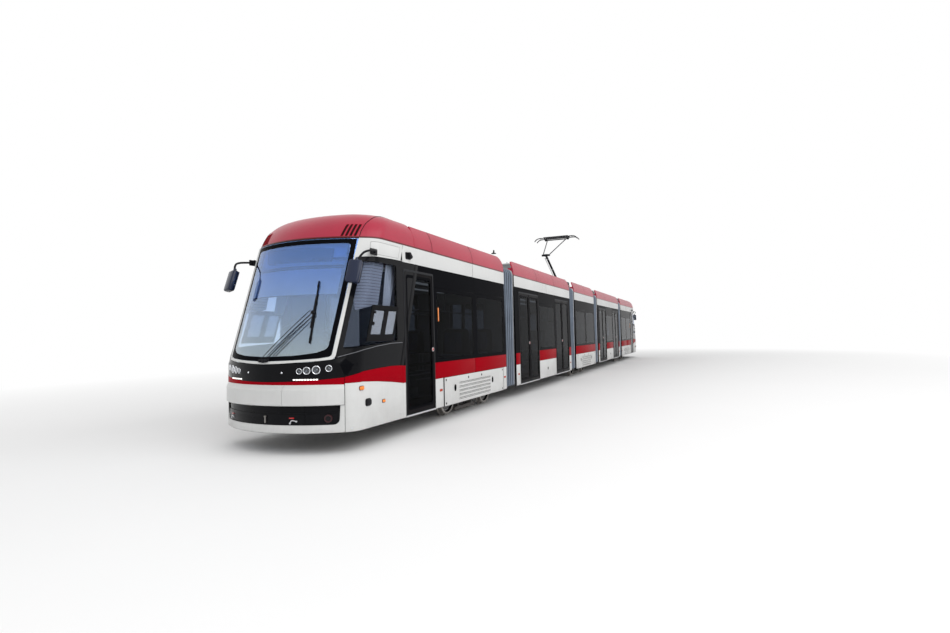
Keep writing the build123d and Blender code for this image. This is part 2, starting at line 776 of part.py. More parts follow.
def bellows(x0, x1):
    """The whole bellows between two cars."""
    pleat_arch(x0, x1, BELLOWS_HALF - 40, BELLOWS_TOP - 40, 25)
    pitch = (x1 - x0) / PLEATS
    for k in range(PLEATS):
        pleat_arch(x0 + (k + 0.25) * pitch, x0 + (k + 0.75) * pitch, BELLOWS_HALF, BELLOWS_TOP, 50)


with BuildPart() as bellows_1:
    bellows(CAB_END + 1, DOOR_CAR_X0)
save_both_ends(bellows_1.part, "outer_bellows")

with BuildPart() as bellows_2:
    bellows(DOOR_CAR_X1 + 1, MID_X0)
save_both_ends(bellows_2.part, "inner_bellows")

# Running gear

def wheelset(x):
    """An axle with its two flanged wheels."""
    with BuildPart() as built:
        for side in (-1, 1):
            with BuildSketch(Plane.XY) as half:
                with BuildLine():
                    Polyline(*[(radius, side * y) for y, radius in WHEEL_PROFILE], close=True)
                make_face()
            revolve(half.sketch, axis=Axis.Y)
    return built.part.moved(Location((x, 0, AXLE_Z)))


def bogie_frame(centre):
    """A frame inside the wheels with motors, gearboxes, springs and track brakes."""
    axles = (-WHEELBASE / 2, WHEELBASE / 2)
    with BuildPart() as frame:
        for side in (-1, 1):
            y = side * BEAM_Y
            block(-1020, 1020, y - BEAM_HALF, y + BEAM_HALF, 255, 392)
            for x in axles:
                tube((x, y - BEAM_HALF, AXLE_Z), (x, y + BEAM_HALF, AXLE_Z), 74)
            for x in (-230, 230):
                tube((x, side * 560, 380), (x, side * 560, 690), 88)
            b0, b1 = sorted((side * 560, side * (GAUGE / 2 + 35)))
            for x in (-330, 330):
                block(x - 35, x + 35, b0, b1, 95, 275)
            t0, t1 = sorted((side * (GAUGE / 2 - 35), side * (GAUGE / 2 + 35)))
            block(-480, 480, t0, t1, FLANGE + 12, 110)
        block(-240, 240, -BEAM_Y, BEAM_Y, 240, 385)
        for x, toward in ((-430, -1), (430, 1)):
            tube((x, -BEAM_Y, 262), (x, BEAM_Y, 262), 105)
            g0, g1 = sorted((x, toward * (WHEELBASE / 2 + 95)))
            block(g0, g1, -75, 75, 205, 392)
        for x in axles:
            with Locations(Location((x, 0, AXLE_Z), (90, 0, 0))):
                Cylinder(AXLE_R + 1, 1400, mode=Mode.SUBTRACT)
        with Locations((0, 0, 300)):
            Cylinder(PIN_R + 1, 200, mode=Mode.SUBTRACT)
    return frame.part.moved(Location((centre, 0, 0)))


for place, centre in BOGIES:
    save(bogie_frame(centre), f"{place}_bogie_frame")
    save(wheelset(centre - WHEELBASE / 2), f"{place}_bogie_wheelset_a")
    save(wheelset(centre + WHEELBASE / 2), f"{place}_bogie_wheelset_b")

# Pantograph on the mid car, drawn raised as in service

with BuildPart() as panto_base:
    for side in (-1, 1):
        block(-350, 650, side * 380 - 30, side * 380 + 30, 3520, 3580)
        for x in (-300, 600):
            tube((x, side * 380, 3040), (x, side * 380, 3520), 45)
        c0, c1 = sorted((side * 230, side * 290))
        block(FOOT[0] - 50, FOOT[0] + 50, c0, c1, 3580, 3690)
    block(-350, -290, -410, 410, 3520, 3580)
    block(400, 500, -410, 410, 3520, 3580)
    tube((FOOT[0], -300, FOOT[1]), (FOOT[0], 300, FOOT[1]), 22)
save(panto_base.part, "pantograph_base")

with BuildPart() as panto_lower:
    tube((FOOT[0], -220, FOOT[1]), (FOOT[0], 220, FOOT[1]), 45)
    tube((FOOT[0], 0, FOOT[1]), (KNEE[0], 0, KNEE[1]), 40)
    tube((KNEE[0], -60, KNEE[1]), (KNEE[0], 60, KNEE[1]), 45)
    with Locations(Location((FOOT[0], 0, FOOT[1]), (90, 0, 0))):
        Cylinder(23, 460, mode=Mode.SUBTRACT)
    with Locations(Location((KNEE[0], 0, KNEE[1]), (90, 0, 0))):
        Cylinder(21, 130, mode=Mode.SUBTRACT)
save(panto_lower.part, "pantograph_lower_arm")

with BuildPart() as panto_upper:
    tube((KNEE[0], -150, KNEE[1]), (KNEE[0], 150, KNEE[1]), 20)
    for side in (-1, 1):
        c0, c1 = sorted((side * 70, side * 150))
        tube((KNEE[0], c0, KNEE[1]), (KNEE[0], c1, KNEE[1]), 38)
        tube((KNEE[0], side * 110, KNEE[1]), (HEAD[0], side * 380, HEAD[1]), 17)
    tube((HEAD[0], -420, HEAD[1]), (HEAD[0], 420, HEAD[1]), 20)
save(panto_upper.part, "pantograph_upper_arm")

with BuildPart() as panto_head:
    for side in (-1, 1):
        c0, c1 = sorted((side * 430, side * 470))
        block(HEAD[0] - 180, HEAD[0] + 180, c0, c1, HEAD[1] - 25, HEAD[1] + 60)
        with Locations(Location((HEAD[0], side * 450, HEAD[1]), (90, 0, 0))):
            Cylinder(22, 60, mode=Mode.SUBTRACT)
    for x in (-160, 160):
        block(HEAD[0] + x - 20, HEAD[0] + x + 20, -670, 670, HEAD[1] + 60, HEAD[1] + 90)
        for side in (-1, 1):
            bar((HEAD[0] + x, side * 660, HEAD[1] + 75), (HEAD[0] + x, side * 880, HEAD[1] - 60), 24, 24)
save(panto_head.part, "pantograph_head")
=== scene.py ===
"""Looks of the five-section low-floor tram, in metres.

+X runs along the tram and the front cab is at -X. Most of the skin is made as flat plates
in (along, up, out) and then wrapped round the nose or set against a side wall.
"""

from math import asin, atan2, ceil, cos, floor, hypot, pi, radians, sin, tan

import bmesh
import bpy
from mathutils import Matrix, Vector
from mathutils.bvhtree import BVHTree


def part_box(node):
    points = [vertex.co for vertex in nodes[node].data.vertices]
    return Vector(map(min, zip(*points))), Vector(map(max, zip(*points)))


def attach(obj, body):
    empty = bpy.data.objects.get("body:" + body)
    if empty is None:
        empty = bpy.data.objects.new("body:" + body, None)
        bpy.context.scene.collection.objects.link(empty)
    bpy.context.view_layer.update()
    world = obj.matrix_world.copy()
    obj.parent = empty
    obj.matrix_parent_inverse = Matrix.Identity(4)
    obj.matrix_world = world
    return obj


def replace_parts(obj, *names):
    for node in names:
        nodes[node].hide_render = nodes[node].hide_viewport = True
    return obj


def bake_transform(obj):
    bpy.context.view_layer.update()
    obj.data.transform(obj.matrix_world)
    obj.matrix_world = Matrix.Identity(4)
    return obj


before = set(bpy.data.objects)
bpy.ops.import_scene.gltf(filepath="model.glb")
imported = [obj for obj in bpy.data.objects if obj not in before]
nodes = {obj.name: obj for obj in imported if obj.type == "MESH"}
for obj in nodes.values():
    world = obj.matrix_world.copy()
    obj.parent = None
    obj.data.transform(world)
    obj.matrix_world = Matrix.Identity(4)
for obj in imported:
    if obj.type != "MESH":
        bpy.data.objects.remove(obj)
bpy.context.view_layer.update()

scene = bpy.context.scene

# Driving sizes, read from the frame
walls_low, walls_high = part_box("front_cab_car_walls")
HALF = walls_high.y
EAVES_Z = walls_high.z
CAB_END = walls_high.x
CAB_BACK = walls_low.x
TIP_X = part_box("front_cab_shell")[0].x
DOOR_X0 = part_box("front_door_car_walls")[0].x
DOOR_X1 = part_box("front_door_car_walls")[1].x
MID_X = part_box("mid_car_walls")[1].x

# Section of the body: upright to the knee, then leaning in by a little to the eaves
KNEE_Z = 1.204
LEAN_IN = 0.025

# Nose: a round plan, upright below the windscreen and leaning back above the knee
FRONT_R = 1.724
CORNER_R = 0.3
LEAN = tan(radians(18.7))

# Levels of the paint and of the glazed band
BAND_Z = 2.738
PANE_LOW = 1.100
PANE_SPLIT = 2.411
STRIPE_Z = (0.815, 1.096)
GAP = 0.003
SKIN = 0.004

# Seam on the nose, along its plan from the centre line
SEAM = 1.148


def half_width(z):
    """Half width of the outer skin at one height."""
    return HALF - LEAN_IN * max(z - KNEE_Z, 0) / (EAVES_Z - KNEE_Z)


def nose_arcs(z):
    """Centre and lengths of the nose's two arcs: turn, front length, corner length, corner x, corner y."""
    half = half_width(z)
    turn = asin((half - CORNER_R) / (FRONT_R - CORNER_R))
    tip = TIP_X + LEAN * max(z - KNEE_Z, 0)
    corner_x = tip + FRONT_R - (FRONT_R - CORNER_R) * cos(turn)
    return turn, FRONT_R * turn, CORNER_R * (pi / 2 - turn), corner_x, half - CORNER_R


def on_nose(along, up, out):
    """A point on the nose. Along runs round the plan from the centre line, positive to -Y."""
    turn, front, corner, corner_x, corner_y = nose_arcs(up)
    side = -1 if along > 0 else 1
    run = abs(along)
    if run < front:
        angle = run / FRONT_R
        centre = TIP_X + LEAN * max(up - KNEE_Z, 0) + FRONT_R
        reach = FRONT_R + out
        return Vector((centre - reach * cos(angle), side * reach * sin(angle), up))
    if run < front + corner:
        angle = turn + (run - front) / CORNER_R
        reach = CORNER_R + out
        return Vector((corner_x - reach * cos(angle), side * (corner_y + reach * sin(angle)), up))
    return Vector((corner_x + run - front - corner, side * (corner_y + CORNER_R + out), up))


def along_at(x, z):
    """Along of a place on the nose's straight side."""
    _, front, corner, corner_x, _ = nose_arcs(z)
    return front + corner + x - corner_x


def on_side(side):
    """Sets (x, up, out) against one side wall."""
    return lambda x, up, out: Vector((x, side * (half_width(up) + out), up))


def on_nose_side(side):
    """Sets (along, up, out) on the nose, for -Y as given and for +Y mirrored."""
    return lambda along, up, out: on_nose(-side * along, up, out)


# Shape helpers

def face_from(bm, points, radius=0.0, steps=5):
    """A flat face in XY with rounded corners. radius is one value, or one for each corner."""
    corners = [bm.verts.new((x, y, 0)) for x, y in points]
    bm.faces.new(corners)
    radii = radius if isinstance(radius, (list, tuple)) else [radius] * len(corners)
    for size in sorted(set(radii)):
        chosen = [v for v, r in zip(corners, radii) if r == size]
        if size > 0:
            bmesh.ops.bevel(
                bm, geom=chosen, offset=size, offset_type="OFFSET", segments=steps,
                profile=0.5, affect="VERTICES", material=-1, clamp_overlap=False,
            )


def rectangle(x0, x1, y0, y1):
    """The corners of a rectangle."""
    return [(x0, y0), (x1, y0), (x1, y1), (x0, y1)]


def circle(x, y, radius, sides=28):
    """Points round a circle."""
    return [(x + radius * cos(2 * pi * k / sides), y + radius * sin(2 * pi * k / sides)) for k in range(sides)]


def bevel_edges(bm, edges, size, segments=2):
    """Rounds a set of edges."""
    bmesh.ops.bevel(
        bm, geom=edges, offset=size, offset_type="OFFSET", segments=segments,
        profile=0.5, affect="EDGES", material=-1, clamp_overlap=True,
    )


def cut(bm, point, normal, near=1e-6, clear=False):
    """Cuts a shape along a plane, and clears what lies beyond it where asked."""
    geometry = bm.verts[:] + bm.edges[:] + bm.faces[:]
    bmesh.ops.bisect_plane(bm, geom=geometry, dist=near, plane_co=point, plane_no=normal, clear_outer=clear)


def filled(bm):
    """Fills between the outlines and leaves the inner ones open."""
    bmesh.ops.delete(bm, geom=bm.faces[:], context="FACES_ONLY")
    bmesh.ops.triangle_fill(bm, use_beauty=True, use_dissolve=False, edges=bm.edges[:])
    return bm


def thickened(bm, inner, outer):
    """Gives a flat face its thickness."""
    made = bmesh.ops.extrude_face_region(bm, geom=bm.faces[:])
    front = [g for g in made["geom"] if isinstance(g, bmesh.types.BMVert)]
    bmesh.ops.translate(bm, verts=front, vec=(0, 0, outer - inner))
    bmesh.ops.translate(bm, verts=bm.verts, vec=(0, 0, inner))
    return bm


def plate(points, radius, inner, outer, edge=0.0012, holes=(), hole_radius=0.0):
    """A flat plate in (along, up, out) with rounded corners, holes and a softened front edge."""
    bm = bmesh.new()
    face_from(bm, points, radius)
    if holes:
        for hole in holes:
            face_from(bm, hole, hole_radius)
        filled(bm)
    thickened(bm, inner, outer)
    bmesh.ops.recalc_face_normals(bm, faces=bm.faces)
    if edge:
        rim = [
            e for e in bm.edges
            if len(e.link_faces) == 2 and e.calc_face_angle() > 1 and min(v.co.z for v in e.verts) > outer - 1e-6
        ]
        bevel_edges(bm, rim, edge)
    return bm


def sliced(bm, step_along, step_up=None):
    """Cuts a plate into strips, so that it can follow a round surface."""
    for axis, step in ((0, step_along), (1, step_up)):
        if step is None:
            continue
        values = [v.co[axis] for v in bm.verts]
        normal = [0, 0, 0]
        normal[axis] = 1
        for k in range(ceil(min(values) / step), floor(max(values) / step) + 1):
            centre = [0, 0, 0]
            centre[axis] = k * step
            cut(bm, centre, normal)
    return bm


def wrapped(bm, place):
    """Puts each point of a flat plate on a surface."""
    for v in bm.verts:
        v.co = place(*v.co)
    bmesh.ops.recalc_face_normals(bm, faces=bm.faces)
    return bm


def on_knee(bm):
    """Cuts a side plate at the knee, where the wall starts to lean."""
    cut(bm, (0, KNEE_Z, 0), (0, 1, 0))
    return bm


def joined(*parts):
    """Several shapes as one, each freed after it is read."""
    whole = bmesh.new()
    for part in parts:
        mesh = bpy.data.meshes.new("part")
        part.to_mesh(mesh)
        whole.from_mesh(mesh)
        part.free()
        bpy.data.meshes.remove(mesh)
    return whole


def moved(bm, x=0.0, y=0.0, z=0.0):
    """Moves a shape."""
    bmesh.ops.translate(bm, verts=bm.verts, vec=(x, y, z))
    return bm


def spun(bm, angle, axis="Z", centre=(0, 0, 0)):
    """Turns a shape about one axis."""
    bmesh.ops.rotate(bm, verts=bm.verts, cent=centre, matrix=Matrix.Rotation(angle, 3, axis))
    return bm


def mirrored_y(bm):
    """The same shape on the other side of the tram."""
    bmesh.ops.scale(bm, verts=bm.verts, vec=(1, -1, 1))
    bmesh.ops.reverse_faces(bm, faces=bm.faces)
    return bm


def brick(x0, x1, y0, y1, z0, z1, edge=0.003, segments=2):
    """A box between two corners with all its edges rounded."""
    bm = bmesh.new()
    bmesh.ops.create_cube(bm, size=1)
    bmesh.ops.scale(bm, verts=bm.verts, vec=(x1 - x0, y1 - y0, z1 - z0))
    moved(bm, (x0 + x1) / 2, (y0 + y1) / 2, (z0 + z1) / 2)
    if edge:
        bevel_edges(bm, bm.edges[:], edge, segments)
    return bm


def twin_bricks(x0, x1, y0, y1, z0, z1, edge=0.003, segments=2):
    """The same rounded box on both sides of the tram."""
    return [brick(x0, x1, *sorted((side * y0, side * y1)), z0, z1, edge, segments) for side in (-1, 1)]


def lathe(profile, steps=32):
    """A profile of (radius, height) points, spun round Z and closed at its poles."""
    bm = bmesh.new()
    line = [bm.verts.new((radius, 0, height)) for radius, height in profile]
    edges = [bm.edges.new(pair) for pair in zip(line, line[1:])]
    bmesh.ops.spin(
        bm, geom=line + edges, cent=(0, 0, 0), axis=(0, 0, 1), angle=2 * pi, steps=steps, use_merge=True
    )
    bmesh.ops.remove_doubles(bm, verts=bm.verts, dist=1e-5)
    bmesh.ops.recalc_face_normals(bm, faces=bm.faces)
    return bm


def collar(inner, outer, low, high, steps=32):
    """A plain ring round Z."""
    return lathe([(inner, low), (outer, low), (outer, high), (inner, high), (inner, low)], steps)


def aimed(bm, origin, direction, up=(0, 0, 1)):
    """Turns a shape made along Z to look along a direction, and puts it at an origin."""
    z_axis = Vector(direction).normalized()
    x_axis = Vector(up).cross(z_axis)
    if x_axis.length < 1e-4:
        x_axis = Vector((1, 0, 0))
    x_axis.normalize()
    y_axis = z_axis.cross(x_axis)
    turn = Matrix((x_axis, y_axis, z_axis)).transposed().to_4x4()
    bmesh.ops.transform(bm, verts=bm.verts, matrix=Matrix.Translation(origin) @ turn)
    return bm


def rod(start, end, radius, sides=14, edge=0.0):
    """A round bar between two points."""
    start, end = Vector(start), Vector(end)
    length = (end - start).length
    bm = lathe([(0, 0), (radius, 0), (radius, length), (0, length)], sides)
    if edge:
        rims = [e for e in bm.edges if e.calc_face_angle(0) > 1]
        bevel_edges(bm, rims, edge)
    return aimed(bm, start, end - start, (0.013, 0.021, 1))


def pipe(points, radius, sides=10, order=3, closed=False):
    """A round bar along a smooth curve through control points."""
    curve = bpy.data.curves.new("path", "CURVE")
    curve.dimensions = "3D"
    curve.bevel_depth = radius
    curve.bevel_resolution = max(1, sides // 4)
    curve.use_fill_caps = True
    curve.resolution_u = 6
    spline = curve.splines.new("NURBS")
    spline.points.add(len(points) - 1)
    for point, place in zip(spline.points, points):
        point.co = (*place, 1)
    spline.order_u = order
    spline.use_endpoint_u = not closed
    spline.use_cyclic_u = closed
    holder = bpy.data.objects.new("path", curve)
    mesh = bpy.data.meshes.new_from_object(holder)
    bm = bmesh.new()
    bm.from_mesh(mesh)
    bpy.data.objects.remove(holder)
    bpy.data.curves.remove(curve)
    bpy.data.meshes.remove(mesh)
    return bm


def bolt(radius=0.008, height=0.005):
    """A six-sided bolt head with a washer, along Z."""
    washer = lathe([(0, 0), (radius * 1.5, 0), (radius * 1.5, height * 0.3), (0, height * 0.3)], 12)
    head = lathe([(0, height * 0.2), (radius, height * 0.2), (radius * 0.94, height), (0, height)], 6)
    return joined(washer, head)


# Pieces of the scene

def add_piece(name, bm, finishes, body=None, smooth=38, slot=None):
    """Makes a finished piece, which moves with a body where one is given."""
    finishes = finishes if isinstance(finishes, (list, tuple)) else [finishes]
    mesh = bpy.data.meshes.new(name)
    bm.to_mesh(mesh)
    bm.free()
    for material in finishes:
        mesh.materials.append(material)
    mesh.shade_smooth()
    mesh.set_sharp_from_angle(angle=radians(smooth))
    piece = bpy.data.objects.new(name, mesh)
    scene.collection.objects.link(piece)
    if body:
        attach(piece, body)
    slot or finishes[0]["slot"]
    return piece


def both_ends(name, bm, finishes, body, smooth=38, replaces=(), slot=None):
    """A front piece and its twin at the rear, half a turn about Z away."""
    twin = bm.copy()
    front = add_piece(f"front_{name}", bm, finishes, f"front_{body}", smooth, slot)
    rear = add_piece(f"rear_{name}", spun(twin, pi), finishes, f"rear_{body}", smooth, slot)
    for node in replaces:
        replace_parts(front, f"front_{node}")
        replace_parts(rear, f"rear_{node}")
    return front, rear


def both_sides(make):
    """The same shape against the -Y wall and the +Y wall."""
    return joined(make(-1), make(1))


def on_walls(flat, knee=False):
    """Flat shapes joined and set against both side walls, cut at the knee where they cross it."""
    near = joined(*flat)
    if knee:
        on_knee(near)
    far = near.copy()
    return joined(wrapped(near, on_side(-1)), wrapped(far, on_side(1)))


# Shader building blocks

def add_node(tree, kind, values=None, **settings):
    """A shader node with its settings, and its inputs set or linked by name or number."""
    made = tree.nodes.new(kind)
    for key, value in settings.items():
        setattr(made, key, value)
    for key, value in (values or {}).items():
        if isinstance(value, bpy.types.NodeSocket):
            tree.links.new(value, made.inputs[key])
        else:
            made.inputs[key].default_value = value
    return made


def new_group(name, inputs, outputs):
    """A shader node group with named number inputs and outputs."""
    tree = bpy.data.node_groups.new(name, "ShaderNodeTree")
    for label, kind, value in inputs:
        socket = tree.interface.new_socket(name=label, in_out="INPUT", socket_type=kind)
        if value is not None:
            socket.default_value = value
    for label, kind in outputs:
        tree.interface.new_socket(name=label, in_out="OUTPUT", socket_type=kind)
    return tree, tree.nodes.new("NodeGroupInput"), tree.nodes.new("NodeGroupOutput")


def worked(tree, operation, a, b=0.0, clamp=False):
    """The result of one sum on two values or sockets."""
    return add_node(tree, "ShaderNodeMath", {0: a, 1: b}, operation=operation, use_clamp=clamp).outputs[0]


def noise(tree, vector, scale, detail=3.0, roughness=0.5):
    """Soft noise at one scale."""
    values = {"Vector": vector, "Scale": scale, "Detail": detail, "Roughness": roughness}
    return add_node(tree, "ShaderNodeTexNoise", values).outputs[0]


def remap(tree, value, low, high, out_low=0.0, out_high=1.0):
    """A value carried from one range to another."""
    values = {"Value": value, "From Min": low, "From Max": high, "To Min": out_low, "To Max": out_high}
    return add_node(tree, "ShaderNodeMapRange", values).outputs["Result"]


def stretched(tree, vector, scale):
    """A position scaled apart along each axis."""
    return add_node(tree, "ShaderNodeMapping", {"Vector": vector, "Scale": scale}).outputs["Vector"]


def mixed(tree, factor, a, b, blend="MIX"):
    """Two colours mixed by a factor."""
    values = {0: factor, 6: a, 7: b}
    return add_node(tree, "ShaderNodeMix", values, data_type="RGBA", blend_type=blend).outputs[2]


def grey(tree, value):
    """A grey of one value."""
    return add_node(tree, "ShaderNodeCombineColor", {0: value, 1: value, 2: value}).outputs[0]


def cloud_group():
    """Slow colour change, fine grain and height for any finish."""
    tree, inside, outside = new_group(
        "cloudy_finish",
        [
            ("Vector", "NodeSocketVector", None), ("Cloud Scale", "NodeSocketFloat", 1.5),
            ("Grain Scale", "NodeSocketFloat", 300.0),
        ],
        [("Cloud", "NodeSocketFloat"), ("Grain", "NodeSocketFloat")],
    )
    cloud = noise(tree, inside.outputs["Vector"], inside.outputs["Cloud Scale"], 4.0, 0.6)
    grain = noise(tree, inside.outputs["Vector"], inside.outputs["Grain Scale"], 2.0, 0.5)
    tree.links.new(cloud, outside.inputs["Cloud"])
    tree.links.new(grain, outside.inputs["Grain"])
    return tree


def dust_group():
    """Road dust that thins upwards, and streaks that rain has drawn down the side."""
    tree, inside, outside = new_group(
        "road_dust",
        [("Vector", "NodeSocketVector", None), ("Top", "NodeSocketFloat", 1.0), ("Streak", "NodeSocketFloat", 0.2)],
        [("Mask", "NodeSocketFloat")],
    )
    vector = inside.outputs["Vector"]
    split = add_node(tree, "ShaderNodeSeparateXYZ", {"Vector": vector})
    height = worked(tree, "DIVIDE", split.outputs["Z"], inside.outputs["Top"])
    low = remap(tree, height, 0.15, 1.0, 1.0, 0.0)
    blotch = noise(tree, vector, 3.2, 6.0, 0.65)
    near = worked(tree, "MULTIPLY", worked(tree, "POWER", low, 2.0), remap(tree, blotch, 0.3, 0.72))
    fine = noise(tree, stretched(tree, vector, (22.0, 22.0, 0.9)), 1.0, 3.0, 0.6)
    run = worked(tree, "MULTIPLY", remap(tree, fine, 0.52, 0.75), inside.outputs["Streak"])
    both = worked(tree, "ADD", near, run, clamp=True)
    tree.links.new(both, outside.inputs["Mask"])
    return tree


def wear_group():
    """Fine scratches and rubbed spots."""
    tree, inside, outside = new_group(
        "rubbed_marks",
        [("Vector", "NodeSocketVector", None), ("Scale", "NodeSocketFloat", 12.0)],
        [("Mask", "NodeSocketFloat")],
    )
    vector = stretched(tree, inside.outputs["Vector"], (1.0, 1.0, 5.0))
    values = {"Vector": vector, "Scale": inside.outputs["Scale"], "Randomness": 1.0}
    cells = add_node(tree, "ShaderNodeTexVoronoi", values, feature="DISTANCE_TO_EDGE").outputs["Distance"]
    line = remap(tree, cells, 0.0, 0.012, 1.0, 0.0)
    patch = remap(tree, noise(tree, inside.outputs["Vector"], 5.0, 4.0, 0.7), 0.5, 0.68)
    tree.links.new(worked(tree, "MULTIPLY", line, patch), outside.inputs["Mask"])
    return tree


CLOUD = cloud_group()
DUST = dust_group()
WEAR = wear_group()


def placed_group(tree, group, values):
    """One use of a shared node group."""
    return add_node(tree, "ShaderNodeGroup", values, node_tree=group)


def shade(colour, factor):
    """A colour made lighter or darker, as a colour socket takes it."""
    return (*[min(1.0, c * factor) for c in colour], 1.0)


DUST_COLOUR = (0.22, 0.205, 0.19)


def finish(
    name, slot, colour, roughness, metallic=0.0, coat=0.0, cloud=0.06, cloud_scale=1.5, grain=0.0015,
    grain_scale=300.0, dust=0.0, dust_top=1.0, streak=0.15, wear=0.0, wear_colour=(0.5, 0.5, 0.5),
    transmission=0.0, ior=1.5, sheen=0.0, paint=None, strength=0.0, specular=0.5,
):
    """A material: cloudy colour, fine grain, road dust from below, streaks and rubbed marks.

    paint(tree, position) may give the colour instead, from the place on the tram.
    """
    material = bpy.data.materials.new(name)
    material.use_nodes = True
    material["slot"] = slot
    tree = material.node_tree
    surface = tree.nodes["Principled BSDF"]
    position = add_node(tree, "ShaderNodeTexCoord").outputs["Object"]
    clouds = placed_group(tree, CLOUD, {"Vector": position, "Cloud Scale": cloud_scale, "Grain Scale": grain_scale})
    tone = clouds.outputs["Cloud"]
    if paint:
        base = paint(tree, position)
        lift = remap(tree, tone, 0.3, 0.7, 1.0 - cloud, 1.0 + cloud)
        base = mixed(tree, 1.0, base, grey(tree, lift), "MULTIPLY")
    else:
        spread = remap(tree, tone, 0.3, 0.7)
        base = mixed(tree, spread, shade(colour, 1 - cloud), shade(colour, 1 + cloud))
    rough = remap(tree, clouds.outputs["Grain"], 0.3, 0.7, max(0.0, roughness - 0.04), roughness + 0.05)
    if wear:
        marks = placed_group(tree, WEAR, {"Vector": position, "Scale": 14.0}).outputs["Mask"]
        marks = worked(tree, "MULTIPLY", marks, wear)
        base = mixed(tree, marks, base, (*wear_colour, 1))
        rough = worked(tree, "ADD", rough, worked(tree, "MULTIPLY", marks, 0.2), clamp=True)
    if dust:
        mask = placed_group(tree, DUST, {"Vector": position, "Top": dust_top, "Streak": streak}).outputs["Mask"]
        mask = worked(tree, "MULTIPLY", mask, dust)
        base = mixed(tree, mask, base, (*DUST_COLOUR, 1))
        rough = worked(tree, "ADD", rough, worked(tree, "MULTIPLY", mask, 0.45), clamp=True)
    tree.links.new(base, surface.inputs["Base Color"])
    tree.links.new(rough, surface.inputs["Roughness"])
    if grain:
        values = {"Height": clouds.outputs["Grain"], "Strength": 0.25, "Distance": grain}
        bump = add_node(tree, "ShaderNodeBump", values)
        tree.links.new(bump.outputs["Normal"], surface.inputs["Normal"])
    surface.inputs["Metallic"].default_value = metallic
    surface.inputs["Coat Weight"].default_value = coat
    surface.inputs["Coat Roughness"].default_value = 0.05
    surface.inputs["Transmission Weight"].default_value = transmission
    surface.inputs["IOR"].default_value = ior
    surface.inputs["Sheen Weight"].default_value = sheen
    surface.inputs["Specular IOR Level"].default_value = specular
    if strength:
        tree.links.new(base, surface.inputs["Emission Color"])
        surface.inputs["Emission Strength"].default_value = strength
    return material


# Camera, light and floor

CAMERA_AT = (-20.433, -5.582, 1.567)
CAMERA_YAW = radians(23.82)
CAMERA_PITCH = radians(1.95)
CAMERA_ROLL = radians(-1.10)
LENS_MM = 20.33
LAMP_AT = Vector((-16, -15, 14))
LAMP_AIM = Vector((-8, 0, 1))


def seen_rays(tree):
    """A mask of the rays that see the white around the tram: the eye's, gloss and glass."""
    rays = add_node(tree, "ShaderNodeLightPath").outputs
    seen = worked(tree, "ADD", rays["Is Camera Ray"], rays["Is Glossy Ray"], clamp=True)
    return worked(tree, "ADD", seen, rays["Is Transmission Ray"], clamp=True)


def place_camera():
    """The photograph's viewpoint, at eye height left of the front cab."""
    yaw, pitch, roll = CAMERA_YAW, CAMERA_PITCH, CAMERA_ROLL
    ahead = Vector((cos(yaw) * cos(pitch), sin(yaw) * cos(pitch), sin(pitch)))
    right = Vector((sin(yaw), -cos(yaw), 0))
    up = right.cross(ahead)
    across = right * cos(roll) + up * sin(roll)
    upward = up * cos(roll) - right * sin(roll)
    lens = bpy.data.cameras.new("camera")
    lens.lens = LENS_MM
    lens.sensor_width = 36
    lens.clip_end = 500
    camera = bpy.data.objects.new("camera", lens)
    scene.collection.objects.link(camera)
    turn = Matrix((across, upward, -ahead)).transposed().to_4x4()
    camera.matrix_world = Matrix.Translation(CAMERA_AT) @ turn
    scene.camera = camera


def light_studio():
    """An even pale world that the camera, gloss and glass see as white, and one broad soft lamp."""
    world = bpy.data.worlds.new("studio")
    scene.world = world
    world.use_nodes = True
    tree = world.node_tree
    seen = seen_rays(tree)
    background = tree.nodes["Background"]
    background.inputs["Color"].default_value = (1, 1, 1, 1)
    tree.links.new(remap(tree, seen, 0.0, 1.0, 0.72, 1.0), background.inputs["Strength"])
    area = bpy.data.lights.new("soft_lamp", "AREA")
    area.shape = "RECTANGLE"
    area.size = 30
    area.size_y = 14
    area.energy = 2600
    lamp = bpy.data.objects.new("soft_lamp", area)
    scene.collection.objects.link(lamp)
    turn = (LAMP_AT - LAMP_AIM).to_track_quat("Z", "Y").to_matrix().to_4x4()
    lamp.matrix_world = Matrix.Translation(LAMP_AT) @ turn


def fade_to_white(material, near=3.0, far=16.0):
    """Away from the tram the floor runs into the white behind it, for the eye, gloss and glass alone."""
    tree = material.node_tree
    position = add_node(tree, "ShaderNodeTexCoord").outputs["Object"]
    split = add_node(tree, "ShaderNodeSeparateXYZ", {"Vector": position})
    beyond = []
    for axis, reach in (("X", -TIP_X), ("Y", HALF)):
        outside = worked(tree, "SUBTRACT", worked(tree, "ABSOLUTE", split.outputs[axis]), reach)
        beyond.append(worked(tree, "POWER", worked(tree, "MAXIMUM", outside, 0.0), 2.0))
    away = remap(tree, worked(tree, "SQRT", worked(tree, "ADD", *beyond)), near, far)
    seen = seen_rays(tree)
    white = add_node(tree, "ShaderNodeEmission", {"Color": (1, 1, 1, 1), "Strength": 1.0})
    mix = add_node(tree, "ShaderNodeMixShader", {"Fac": worked(tree, "MULTIPLY", away, seen)})
    tree.links.new(tree.nodes["Principled BSDF"].outputs["BSDF"], mix.inputs[1])
    tree.links.new(white.outputs["Emission"], mix.inputs[2])
    tree.links.new(mix.outputs["Shader"], tree.nodes["Material Output"].inputs["Surface"])


def lay_floor():
    """A wide plain pale floor."""
    bm = bmesh.new()
    bmesh.ops.create_grid(bm, x_segments=4, y_segments=4, size=300)
    mesh = bpy.data.meshes.new("studio_floor")
    bm.to_mesh(mesh)
    bm.free()
    fade_to_white(FLOOR_PAINT)
    mesh.materials.append(FLOOR_PAINT)
    ground = bpy.data.objects.new("studio_floor", mesh)
    scene.collection.objects.link(ground)


